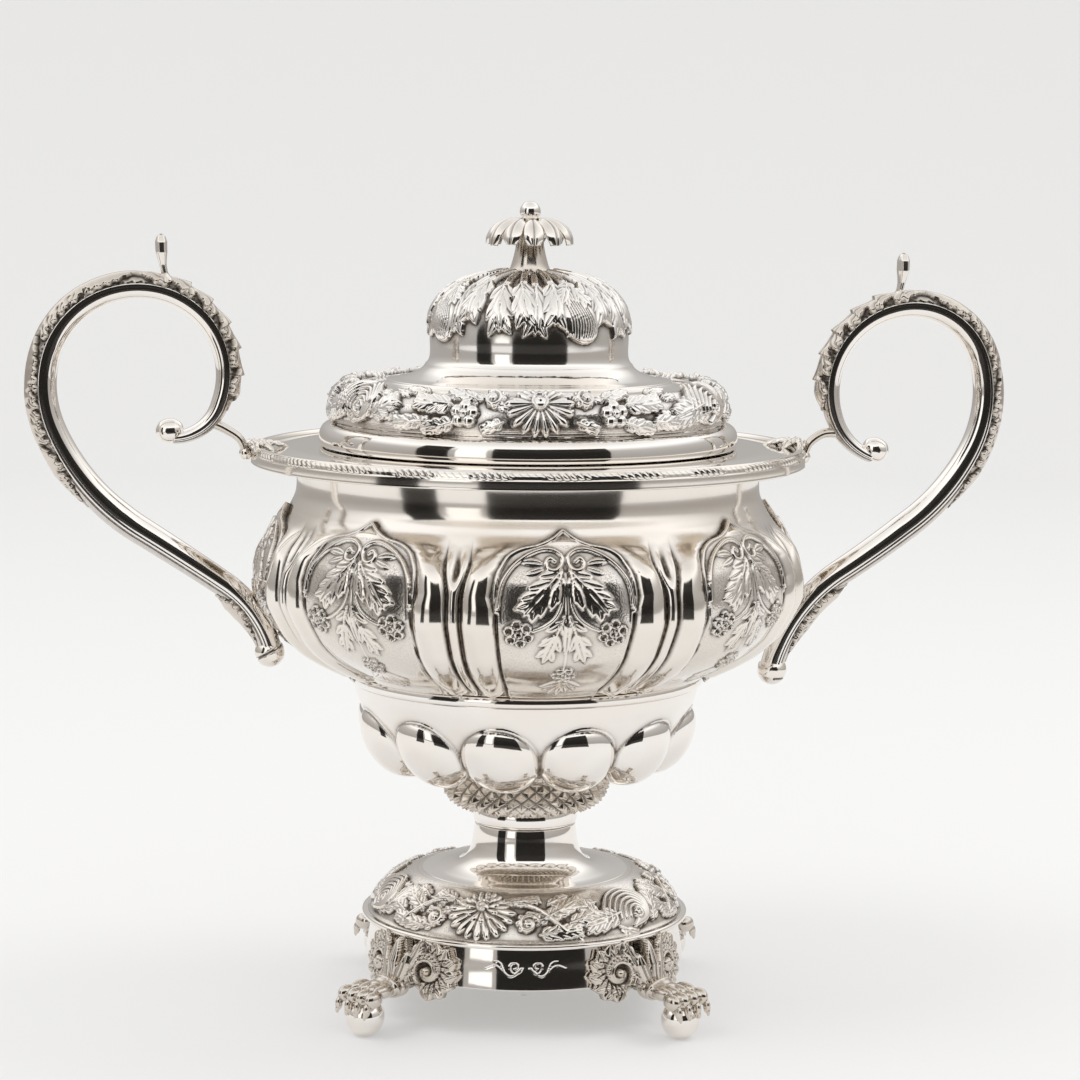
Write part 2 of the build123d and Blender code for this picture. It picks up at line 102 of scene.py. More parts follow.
class Relief:
    """A height map in millimetres over a strip: x runs round the piece, y along its profile."""

    def __init__(self, width, height, columns, rows):
        self.width, self.height = width, height
        self.columns, self.rows = columns, rows
        self.dx = width / columns
        self.dy = height / (rows - 1)
        self.h = np.zeros((rows, columns))
        self.matted = np.zeros((rows, columns))
        self.shift, self.flip, self.turn = (0.0, 0.0), 1, 0.0

    def at(self, x=0.0, y=0.0, flip=1, turn=0.0):
        """Places the shapes that follow: moved, turned, and mirrored where flip is -1."""
        self.shift, self.flip, self.turn = (x, y), flip, radians(turn)

    def placed(self, points):
        """Points of a shape where at() has put it."""
        p = np.array(points, float)
        p = np.stack([p[:, 0] * self.flip, p[:, 1]], axis=1)
        c, s = cos(self.turn), sin(self.turn)
        x = p[:, 0] * c - p[:, 1] * s + self.shift[0]
        y = p[:, 0] * s + p[:, 1] * c + self.shift[1]
        return np.stack([x, y], axis=1)

    def window(self, points, reach):
        """The cells within reach of some points, with their places, or None past the edge."""
        low = points.min(0) - reach
        high = points.max(0) + reach
        i0, i1 = int(low[0] // self.dx), int(high[0] // self.dx) + 2
        j0, j1 = max(0, int(low[1] // self.dy)), min(self.rows, int(high[1] // self.dy) + 2)
        if j1 <= j0:
            return None
        i1 = min(i1, i0 + self.columns)
        cols = np.arange(i0, i1)
        rows = np.arange(j0, j1)
        x, y = np.meshgrid(cols * self.dx, rows * self.dy)
        return np.ix_(rows, cols % self.columns), x, y

    def nearest(self, line, x, y):
        """Distance to a line, which side of it, and how far along it (0 to 1) for each place."""
        seg = np.diff(line, axis=0)
        size = np.maximum(np.linalg.norm(seg, axis=1), 1e-9)
        total = size.sum()
        run = np.r_[0, np.cumsum(size)]
        best = np.full(x.shape, 1e9)
        side = np.zeros(x.shape)
        along = np.zeros(x.shape)
        for k in range(len(seg)):
            ux, uy = seg[k] / size[k]
            rx, ry = x - line[k, 0], y - line[k, 1]
            t = np.clip(rx * ux + ry * uy, 0, size[k])
            d = np.hypot(rx - t * ux, ry - t * uy)
            near = d < best
            best = np.where(near, d, best)
            side = np.where(near, ux * ry - uy * rx, side)
            along = np.where(near, (run[k] + t) / total, along)
        return best, np.sign(side), along

    def lift(self, where, h, soft=False):
        """Raises the ground to a height, or where soft adds the height to it."""
        old = self.h[where]
        self.h[where] = old + h if soft else np.maximum(old, h)

    def stroke(self, points, width, height, taper=(1.0, 1.0), base=0.0):
        """A rounded raised strand, or a groove where height is below zero."""
        line = self.placed(points)
        got = self.window(line, width)
        if got is None:
            return
        where, x, y = got
        d, _, t = self.nearest(line, x, y)
        half = 0.5 * width * (taper[0] + (taper[1] - taper[0]) * t)
        inside = np.clip(1 - (d / np.maximum(half, 1e-3)) ** 2, 0, 1)
        if height < 0:
            self.lift(where, height * inside**0.6, soft=True)
        else:
            self.lift(where, np.where(inside > 0, base + height * inside**0.5, UNTOUCHED))

    def leaf(self, root, tip, width, height, bend=0.0, teeth=5, widest=0.45, vein=0.5):
        """A pointed leaf with a serrated edge, a sunk midrib and slanting side veins."""
        ends = np.array([root, tip], float)
        middle = ends.mean(0) + bend * np.array([-(ends[1] - ends[0])[1], (ends[1] - ends[0])[0]])
        t = np.linspace(0, 1, 15)[:, None]
        line = self.placed((1 - t) ** 2 * ends[0] + 2 * t * (1 - t) * middle + t**2 * ends[1])
        got = self.window(line, width)
        if got is None:
            return
        where, x, y = got
        d, side, t = self.nearest(line, x, y)
        length = line_length(line)
        body = np.where(t < widest, np.sin(0.5 * pi * np.clip(t / widest, 0.08, 1)) ** 0.7,
                        np.cos(0.5 * pi * np.clip((t - widest) / (1 - widest), 0, 1)) ** 0.8)
        half = 0.5 * width * body
        if teeth:
            phase = t * teeth - 0.9 * d / length * teeth
            half = half * (1 - 0.42 * np.mod(phase + 0.2 * side, 1.0) * (t > 0.1))
        inside = np.clip(1 - d / np.maximum(half, 1e-3), 0, 1)
        h = height - min(height, 1.5) * 0.45 * (1 - inside**0.5)
        h -= min(height, 1.0) * vein * np.exp(-((d / max(0.2, 0.07 * width)) ** 2))
        if teeth:
            rib = np.abs(np.mod(t * teeth - 0.9 * d / length * teeth + 0.2 * side, 1.0) - 0.5) * 2
            h += height * 0.16 * (rib - 0.5) * np.clip(inside * 3, 0, 1)
        self.lift(where, np.where(inside > 0, h, UNTOUCHED))

    def frond(self, root, tip, reach, height, lobes=4, wide=2.4, spread=36, sides=(-1, 1)):
        """A leaf cut into pointed lobes on both sides of its midrib, each with a vein of its own."""
        root, tip = np.array(root, float), np.array(tip, float)
        along = tip - root
        heading = atan2(along[1], along[0])
        for n in range(lobes):
            t = (n + 0.5) / (lobes + 0.7)
            base = root + along * (0.9 * t - 0.04)
            size = reach * sin(pi * (0.24 + 0.55 * t))
            for side in sides:
                a = heading + side * radians(spread * (1.25 - 0.6 * t))
                self.leaf(base, (base[0] + size * cos(a), base[1] + size * sin(a)), wide * (1.1 - 0.3 * t),
                          height - 0.12 + 0.03 * n, -0.1 * side, 0, 0.5, 0.4)
        self.leaf(root + 0.3 * along, tip, wide * 1.15, height + 0.08, 0.0, 0, 0.42, 0.45)
        self.stroke([root, root + 0.5 * along], 0.8, 0.3, (1.0, 0.4), base=height - 0.2)

    def dome(self, centre, size, height, turn=0.0, power=0.5, base=0.0):
        """A smooth boss with an oval outline."""
        c = self.placed([centre])
        got = self.window(c, max(size))
        if got is None:
            return
        where, x, y = got
        a = radians(turn) * self.flip + self.turn
        u = ((x - c[0, 0]) * cos(a) + (y - c[0, 1]) * sin(a)) / size[0]
        v = (-(x - c[0, 0]) * sin(a) + (y - c[0, 1]) * cos(a)) / size[1]
        inside = np.clip(1 - u**2 - v**2, 0, 1)
        self.lift(where, np.where(inside > 0, base + height * inside**power, UNTOUCHED))

    def ring(self, centre, radius, width, height):
        """A raised circle."""
        t = np.linspace(0, 2 * pi, 25)
        c = np.array(centre, float)
        self.stroke(np.stack([c[0] + radius * np.cos(t), c[1] + radius * np.sin(t)], axis=1), width, height)

    def flower(self, centre, radius, petals, height, turn=0.0):
        """Ring petals round a small ringed eye, as made with a hollow punch."""
        for k in range(petals):
            a = 2 * pi * k / petals + radians(turn)
            c = (centre[0] + 0.64 * radius * cos(a), centre[1] + 0.64 * radius * sin(a))
            self.dome(c, (0.38 * radius, 0.38 * radius), height * 0.35)
            self.ring(c, 0.27 * radius, 0.2 * radius, height)
        self.dome(centre, (0.3 * radius, 0.3 * radius), height * 0.5)
        self.ring(centre, 0.2 * radius, 0.16 * radius, height * 1.1)

    def fan(self, centre, inner, outer, start, sweep, ribs, height, scallop=0.1):
        """Rounded flutes that spread from a centre, with a scalloped outer edge."""
        c = self.placed([centre])
        got = self.window(c, outer * 1.1)
        if got is None:
            return
        where, x, y = got
        rx, ry = (x - c[0, 0]), (y - c[0, 1])
        cc, ss = cos(-self.turn), sin(-self.turn)
        rx, ry = (rx * cc - ry * ss) * self.flip, rx * ss + ry * cc
        angle = np.mod(np.degrees(np.arctan2(ry, rx)) - start, FULL)
        r = np.hypot(rx, ry)
        place = angle / sweep * ribs
        flute = np.abs(np.sin(pi * place))
        edge = outer * (1 - scallop + scallop * flute)
        inside = (angle <= sweep) & (r < edge) & (r > inner)
        fade = np.clip((edge - r) / (0.12 * outer), 0, 1) ** 0.5
        h = height * (0.3 + 0.7 * flute**0.7) * (0.45 + 0.55 * fade) * np.clip(0.4 + 0.8 * r / outer, 0, 1)
        self.lift(where, np.where(inside, h, UNTOUCHED))

    def blurred(self, size):
        """The height map smoothed over a width in millimetres."""
        fx = np.fft.fftfreq(self.columns, self.dx)
        pad = int(3 * size / self.dy) + 1
        tall = np.pad(self.h, ((pad, pad), (0, 0)), mode="edge")
        fy = np.fft.fftfreq(tall.shape[0], self.dy)
        gauss = np.exp(-2 * (pi * size) ** 2 * (fx[None, :] ** 2 + fy[:, None] ** 2))
        return np.real(np.fft.ifft2(np.fft.fft2(tall) * gauss))[pad:-pad]

    def patina(self, fine=0.35, broad=1.2, strength=2.2):
        """How much tarnish stays in the recesses, 0 to 1."""
        narrow = np.clip(self.blurred(fine) - self.h, 0, None) * 1.4
        sunk = narrow + np.clip(self.blurred(broad) - self.h, 0, None)
        return np.clip(sunk * strength, 0, 1)


# ---------------------------------------------------------------- meshes

def make_mesh(name, verts, faces, material, patina=None, matted=None):
    """A smooth mesh from points in millimetres, with its tarnish and matting at each point; on the handle
    tubes and ball feet the tarnish value also holds painted shade and reflection.
    """
    mesh = bpy.data.meshes.new(name)
    verts = np.asarray(verts, float) * MM
    faces = np.asarray(faces, np.int32)
    sides = faces.shape[1]
    mesh.vertices.add(len(verts))
    mesh.vertices.foreach_set("co", verts.ravel())
    mesh.loops.add(faces.size)
    mesh.loops.foreach_set("vertex_index", faces.ravel())
    mesh.polygons.add(len(faces))
    mesh.polygons.foreach_set("loop_start", np.arange(0, faces.size, sides, dtype=np.int32))
    mesh.polygons.foreach_set("use_smooth", np.ones(len(faces), bool))
    mesh.update(calc_edges=True)
    for key, values in (("patina", patina), ("matted", matted)):
        layer = mesh.attributes.new(key, "FLOAT", "POINT")
        layer.data.foreach_set("value", np.zeros(len(verts)) if values is None else np.ravel(values))
    mesh.materials.append(material)
    obj = bpy.data.objects.new(name, mesh)
    bpy.context.scene.collection.objects.link(obj)
    return obj


def grid_faces(rows, columns, wrap_rows=False, wrap_columns=True):
    """The four-sided faces of a grid of points, closed on itself where it wraps."""
    j = np.arange(rows if wrap_rows else rows - 1)
    i = np.arange(columns if wrap_columns else columns - 1)
    j, i = np.meshgrid(j, i, indexing="ij")
    j2, i2 = (j + 1) % rows, (i + 1) % columns
    corners = [j * columns + i, j * columns + i2, j2 * columns + i2, j2 * columns + i]
    return np.stack(corners, axis=-1).reshape(-1, 4)


def settle(obj, node, body="bowl"):
    """Puts a finished piece in the place of its CAD node."""
    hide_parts(node)
    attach(obj, body)
    return obj


def turned(name, outer, inner, columns, material, relief=None, wobble=0.0, patina=None):
    """A piece of revolution: its outside, which takes the relief, and its plain inside."""
    outer = np.array(outer, float)
    inner = np.array(inner, float)
    step = np.gradient(outer, axis=0)
    step /= np.maximum(np.linalg.norm(step, axis=1), 1e-9)[:, None]
    normal = np.stack([step[:, 1], -step[:, 0]], axis=1)
    theta = np.arange(columns) * 2 * pi / columns
    h = relief.h if relief is not None else np.zeros((len(outer), columns))
    if wobble:
        wave = sum(np.cos(k * theta + rng.uniform(0, 2 * pi)) / k for k in (2, 3, 5, 7))
        tall = np.sin(np.linspace(0, 3.1, len(outer)) * pi + rng.uniform(0, 6))
        h = h + wobble * (wave[None, :] * 0.5 + 0.5 * tall[:, None] * np.cos(theta * 2)[None, :])
    r = outer[:, 0:1] + normal[:, 0:1] * h
    z = outer[:, 1:2] + normal[:, 1:2] * h
    r = np.vstack([r, np.repeat(inner[:, 0:1], columns, axis=1)])
    z = np.vstack([z, np.repeat(inner[:, 1:2], columns, axis=1)])
    verts = np.stack([r * np.cos(theta), r * np.sin(theta), z], axis=-1).reshape(-1, 3)
    dark = np.zeros(r.shape)
    mat = np.zeros(r.shape)
    if relief is not None:
        dark[:len(outer)] = relief.patina() if patina is None else patina
        mat[:len(outer)] = relief.matted
    return make_mesh(name, verts, grid_faces(len(r), columns, wrap_rows=True), material, dark, mat)


def sewn(name, front, back, material, patina=None, matted=None):
    """A closed plate from a front and a back grid of points, joined round the edge."""
    rows, columns, _ = front.shape
    count = rows * columns
    faces = grid_faces(rows, columns, wrap_columns=False)
    flat = faces[:, ::-1] + count
    edge = list(range(columns)) + [j * columns + columns - 1 for j in range(1, rows)]
    edge += [(rows - 1) * columns + i for i in range(columns - 2, -1, -1)]
    edge += [j * columns for j in range(rows - 2, 0, -1)]
    edge = np.array(edge)
    after = np.roll(edge, -1)
    wall = np.stack([after, edge, edge + count, after + count], axis=1)
    verts = np.vstack([front.reshape(-1, 3), back.reshape(-1, 3)])
    dark = None if patina is None else np.r_[np.ravel(patina), np.ravel(patina)]
    rough = None if matted is None else np.r_[np.ravel(matted), np.ravel(matted)]
    return make_mesh(name, verts, np.vstack([faces, flat, wall]), material, dark, rough)


def joined(name, pieces):
    """Several meshes made into one object."""
    bpy.ops.object.select_all(action="DESELECT")
    for p in pieces:
        p.select_set(True)
    bpy.context.view_layer.objects.active = pieces[0]
    bpy.ops.object.join()
    pieces[0].name = name
    pieces[0].data.name = name
    return pieces[0]


# ---------------------------------------------------------------- materials

FILM_TINT = (0.965, 0.945, 0.915)      # the faint warm film that handled silver takes


def silver(name, tone, tarnish, roughness, stipple=0.3):
    """Polished silver, with tarnish in the recesses and punch marks on matted ground."""
    mat = bpy.data.materials.new(name)
    mat.use_nodes = True
    nodes, links = mat.node_tree.nodes, mat.node_tree.links
    shader = nodes["Principled BSDF"]
    shader.inputs["Metallic"].default_value = 1.0
    place = nodes.new("ShaderNodeTexCoord")

    def noise(scale, detail=3.0):
        n = nodes.new("ShaderNodeTexNoise")
        n.inputs["Scale"].default_value = scale
        n.inputs["Detail"].default_value = detail
        links.new(place.outputs["Object"], n.inputs["Vector"])
        return n.outputs["Fac"]

    def ranged(value, low, high, to_low, to_high):
        n = nodes.new("ShaderNodeMapRange")
        for key, number in (("From Min", low), ("From Max", high), ("To Min", to_low), ("To Max", to_high)):
            n.inputs[key].default_value = number
        links.new(value, n.inputs["Value"])
        return n.outputs["Result"]

    def maths(operation, a, b):
        n = nodes.new("ShaderNodeMath")
        n.operation = operation
        for k, v in enumerate((a, b)):
            if isinstance(v, (int, float)):
                n.inputs[k].default_value = v
            else:
                links.new(v, n.inputs[k])
        return n.outputs["Value"]

    def mixed(amount, a, b):
        n = nodes.new("ShaderNodeMix")
        n.data_type = "RGBA"
        links.new(amount, n.inputs["Factor"])
        for key, v in (("A", a), ("B", b)):
            socket = [s for s in n.inputs if s.name == key and s.type == "RGBA"][0]
            if isinstance(v, tuple):
                socket.default_value = (*v, 1.0)
            else:
                links.new(v, socket)
        return [s for s in n.outputs if s.type == "RGBA"][0]

    def attribute(key):
        n = nodes.new("ShaderNodeAttribute")
        n.attribute_name = key
        return n.outputs["Fac"]

    cloud = noise(45.0)
    fine = noise(700.0, 4.0)
    # The patina attribute is tarnish in the recesses; under the handle leafage it is painted shade, and on
    # the tops of the ball feet a painted reflection.
    sunk = attribute("patina")
    matted = attribute("matted")
    clouded = tuple(c * f for c, f in zip(tone, FILM_TINT))
    film = mixed(ranged(cloud, 0.35, 0.7, 0.0, 1.0), tone, clouded)
    speck = maths("MULTIPLY", matted, ranged(noise(2600.0, 2.0), 0.40, 0.65, 0.04, 0.38))
    depth = maths("MAXIMUM", maths("MULTIPLY", sunk, ranged(fine, 0.25, 0.75, 0.75, 1.1)), speck)
    links.new(mixed(depth, film, tarnish), shader.inputs["Base Color"])
    rough = maths("ADD", ranged(cloud, 0.3, 0.75, roughness, roughness * 1.6), maths("MULTIPLY", depth, 0.3))
    links.new(rough, shader.inputs["Roughness"])
    bump = nodes.new("ShaderNodeBump")
    bump.inputs["Distance"].default_value = 0.0001
    bump.inputs["Strength"].default_value = stipple
    punched = maths("MULTIPLY", noise(1800.0, 1.0), matted)
    scuffs = maths("MULTIPLY", noise(160.0, 5.0), 0.22)
    links.new(maths("ADD", punched, scuffs), bump.inputs["Height"])
    links.new(bump.outputs["Normal"], shader.inputs["Normal"])
    return mat


POLISHED = silver("polished_silver_finish", (0.93, 0.895, 0.855), (0.16, 0.125, 0.10), 0.05)
CHASED = silver("chased_silver_finish", (0.89, 0.845, 0.79), (0.075, 0.056, 0.042), 0.085)
# A lighter copy of the chased silver, for the lid band and dome: painted light, as the top of the bowl
# catches more light.
CHASED_LIT_COPY = silver("chased_silver_lit_copy", (0.95, 0.92, 0.885), (0.11, 0.085, 0.068), 0.075)
CAST = silver("cast_silver_finish", (0.72, 0.665, 0.60), (0.055, 0.042, 0.033), 0.12)


def plain(name, colour, strength=0.0, glow=None):
    """A matt material, which glows where a strength is given."""
    mat = bpy.data.materials.new(name)
    mat.use_nodes = True
    shader = mat.node_tree.nodes["Principled BSDF"]
    shader.inputs["Base Color"].default_value = (*colour, 1.0)
    shader.inputs["Roughness"].default_value = 0.9
    shader.inputs["Specular IOR Level"].default_value = 0.1
    if strength:
        shader.inputs["Emission Color"].default_value = (*(glow or colour), 1.0)
        shader.inputs["Emission Strength"].default_value = strength
    return mat


# ---------------------------------------------------------------- camera, table and studio

CAMERA_PLACE = Vector((-0.1222, -0.8954, 0.2455))
CAMERA_HEADING = 82.0
CAMERA_PITCH = -7.03
CAMERA_ROLL = 0.52
LENS = 105.7

heading, pitch, roll = radians(CAMERA_HEADING), radians(CAMERA_PITCH), radians(CAMERA_ROLL)
forward = Vector((cos(heading) * cos(pitch), sin(heading) * cos(pitch), sin(pitch)))
level = forward.cross(Vector((0, 0, 1))).normalized()
above = level.cross(forward)
right_way = level * cos(roll) + above * sin(roll)
up_way = above * cos(roll) - level * sin(roll)
camera_data = bpy.data.cameras.new("camera")
camera_data.lens = LENS
camera = bpy.data.objects.new("camera", camera_data)
turn = Matrix((right_way, up_way, -forward)).transposed().to_4x4()
camera.matrix_world = Matrix.Translation(CAMERA_PLACE) @ turn
bpy.context.scene.collection.objects.link(camera)
bpy.context.scene.camera = camera
bpy.context.scene.view_settings.view_transform = "Standard"

STUDIO_LIGHT = 0.80
WINDOW_LIGHT = 1.25
world = bpy.data.worlds.new("studio")
bpy.context.scene.world = world
world.use_nodes = True
sky = world.node_tree
sky_place = sky.nodes.new("ShaderNodeTexCoord")
sky_axes = sky.nodes.new("ShaderNodeSeparateXYZ")
sky_ramp = sky.nodes.new("ShaderNodeValToRGB")
sky.links.new(sky_place.outputs["Generated"], sky_axes.inputs["Vector"])
sky.links.new(sky_axes.outputs["Z"], sky_ramp.inputs["Fac"])
sky.links.new(sky_ramp.outputs["Color"], sky.nodes["Background"].inputs["Color"])
sky.nodes["Background"].inputs["Strength"].default_value = STUDIO_LIGHT
# Walls of the room are grey, its ceiling is white
for place, tone in ((0.0, (0.52, 0.50, 0.48)), (0.3, (0.70, 0.685, 0.67)), (0.55, (1.5, 1.5, 1.5))):
    stop = sky_ramp.color_ramp.elements[0] if place == 0.0 else sky_ramp.color_ramp.elements.new(place)
    stop.position = place
    stop.color = (*tone, 1.0)

TABLE_R, SWEEP_TOP = 1400.0, 900.0
PAPER_GLOW = 0.66
PAPER = plain("pale_paper", (0.50, 0.498, 0.495), PAPER_GLOW)
TABLE_SIDES = 96
table_rings = [(r, 0.0) for r in (1, 400, 800, TABLE_R)]
sweep_rings = smooth([(TABLE_R, 0), (TABLE_R + 250, 6), (TABLE_R + 520, 110), (TABLE_R + 680, 380),
                      (TABLE_R + 720, SWEEP_TOP)], 40)
for name, rings, in_mirror in (("table_top", table_rings, True), ("paper_sweep", sweep_rings, False)):
    turns = np.arange(TABLE_SIDES) * 2 * pi / TABLE_SIDES
    verts = np.array([[(r * cos(a), r * sin(a), z) for a in turns] for r, z in rings])
    ground = make_mesh(name, verts.reshape(-1, 3), grid_faces(len(rings), TABLE_SIDES)[:, ::-1], PAPER)
    ground.visible_glossy = in_mirror


SCREEN_COLUMNS, SCREEN_ROWS = 24, 12
SCREEN_CENTRE_Z = 60.0


def bearings(turn_from, turn_to):
    """Azimuths round the bowl in radians, from turns in degrees away from the camera's side."""
    return np.radians(np.linspace(turn_from, turn_to, SCREEN_COLUMNS) + CAMERA_HEADING - 180)


def in_mirror_only(screen):
    """Part of the studio that nothing but reflections see."""
    screen.visible_camera = False
    screen.visible_diffuse = False
    screen.visible_shadow = False


def card(name, turn_from, turn_to, low, high, radius, material):
    """A curved screen round the bowl, between two turns and two heights in degrees."""
    rises = np.radians(np.linspace(low, high, SCREEN_ROWS))
    a, e = np.meshgrid(bearings(turn_from, turn_to), rises)
    x = radius * np.cos(a) * np.cos(e)
    y = radius * np.sin(a) * np.cos(e)
    verts = np.stack([x, y, radius * np.sin(e) + SCREEN_CENTRE_Z], axis=-1).reshape(-1, 3)
    in_mirror_only(make_mesh(name, verts, grid_faces(SCREEN_ROWS, SCREEN_COLUMNS, wrap_columns=False),
                             material))


def apron(name, turn_from, turn_to, near, far, material):
    """The dark room past the near edge of the table."""
    turns = bearings(turn_from, turn_to)
    verts = np.array([[(r * cos(a), r * sin(a), 1.0) for a in turns] for r in (near, far)]).reshape(-1, 3)
    faces = grid_faces(2, SCREEN_COLUMNS, wrap_columns=False)[:, ::-1]
    in_mirror_only(make_mesh(name, verts, faces, material))


# Dark screens that only the silver sees: painted shade, standing in for the unlit part of the room.
DARK_ROOM_SHADE = plain("dark_room_shade", (0.035, 0.033, 0.031))
for name, turn_from, turn_to, high in (("main", -19, 45, 33), ("side", -62, -43, 36)):
    card(f"screen_{name}", turn_from, turn_to, -3.0, high, 2200, DARK_ROOM_SHADE)
    apron(f"apron_{name}", turn_from, turn_to, 430, 2300, DARK_ROOM_SHADE)
WINDOW = plain("window_light", (0.0, 0.0, 0.0), WINDOW_LIGHT, (1.0, 0.99, 0.97))
card("bright_window", -39, -22, 0.0, 33, 2250, WINDOW)


def lamp(name, place, target, size, power):
    """A round soft light in metres and watts, unseen in the silver."""
    data = bpy.data.lights.new(name, "AREA")
    data.shape = "DISK"
    data.size = size
    data.energy = power
    obj = bpy.data.objects.new(name, data)
    bpy.context.scene.collection.objects.link(obj)
    obj.location = place
    obj.rotation_euler = (Vector(target) - Vector(place)).to_track_quat("-Z", "Y").to_euler()
    obj.visible_glossy = False


lamp("softbox_left", (-0.9, -0.3, 1.5), (0, 0, 0.1), 0.9, 6)
lamp("softbox_right", (0.95, 0.1, 1.4), (0, 0, 0.1), 0.8, 5)


# ---------------------------------------------------------------- body of the bowl

PANELS = 8
SECTOR = FULL / PANELS
BELLY_R = 78.0
DEG = BELLY_R * pi / 180          # millimetres to a degree round the belly

belly_line = [(50.2, 96.8), (58.5, 99.9), (67, 104.6), (72.4, 109.3), (75, 113.1), (77, 116.8), (78.4, 120.3),
              (78.5, 124.7), (77.9, 128.4), (76.9, 132.0), (75.4, 135.0), (73.4, 138.4), (70.9, 141.6),
              (68.3, 144.6),
              (66.5, 147.8), (66.1, 151.6), (66.5, 155.8), (67.6, 160.1)]
belly_inside = [(66.2, 160.1), (65.2, 155.8), (64.7, 151.6), (64.9, 147.4), (66.4, 143.8), (69, 140.2),
                (71.6, 136),
                (73.2, 131), (73.6, 124), (72.4, 117.6), (69.2, 111.4), (63.6, 106), (56.8, 101.8),
                (48.4, 97.6),
                (48.4, 96.8)]
BODY_COLUMNS, BODY_ROWS = PANELS * 200, 320
belly = smooth(belly_line, BODY_ROWS)
body = Relief(FULL * DEG, line_length(belly), BODY_COLUMNS, BODY_ROWS)

# Outline of a panel: half its width in degrees at each distance up the belly
EDGE_S = np.array([0, 20, 43.6, 46.5, 52.4, 56.1, 58.4, 60.1, 61.2, 63.0, 65.4, 80])
EDGE_HALF = np.array([13.0, 13.3, 13.8, 14.4, 13.9, 12.7, 11.5, 9.0, 5.3, 2.2, 0.0, 0.0]) * DEG
grid_s = np.arange(BODY_ROWS)[:, None] * body.dy
HALF_SECTOR = 0.5 * SECTOR * DEG
grid_x = np.mod(np.arange(BODY_COLUMNS)[None, :] * body.dx + HALF_SECTOR, SECTOR * DEG) - HALF_SECTOR
half = np.interp(grid_s, EDGE_S, EDGE_HALF)
panel = np.clip((half - np.abs(grid_x)) / 0.35, 0, 1)
lowest = -2.3 * smooth_step(grid_s / 8) * smooth_step((69 - grid_s) / 14)
panel_dome = 1.2 + 0.8 * np.sqrt(np.clip(1 - (grid_x / np.maximum(half, 0.1)) ** 2, 0, 1))
body.h = panel * panel_dome * np.clip((67 - grid_s) / 5, 0, 1) * np.clip(grid_s / 5 + 0.15, 0, 1)
# Between two panels two tall lobes stand beside a ridge, which forks at its top
from_gap = HALF_SECTOR - np.abs(grid_x)
gap_half = HALF_SECTOR - half
ridge_half = 1.8 + 1.9 * smooth_step((grid_s - 45) / 12)
across_lobe = np.clip((from_gap - ridge_half) / (gap_half - ridge_half), 0, 1)
lobe = 3.3 * smooth_step((grid_s - 1) / 6) * smooth_step((64.5 - grid_s) / 13)
lobe = lobe * (4 * across_lobe * (1 - across_lobe)) ** 0.62
fork = 1 - smooth_step((grid_s - 47) / 7) * np.exp(-((from_gap / 1.5) ** 2))
ridge = 2.3 * smooth_step(grid_s / 6) * smooth_step((62 - grid_s) / 9) * fork
ridge = ridge * np.clip(1 - (from_gap / ridge_half) ** 2, 0, 1) ** 0.6
body.h = np.maximum(body.h, np.maximum(lobe, ridge) * (1 - panel))
PANEL_GROUND = 1.75                    # height of the matted ground inside a panel


def belly_gap(x):
    """A small leaf at the foot of each of the two tall lobes in a gap."""
    for side in (-1, 1):
        body.at(x, 0, side)
        body.frond((4.9 * DEG, 3.0), (5.4 * DEG, 10.8), 4.4, 2.5, 3, 2.2)


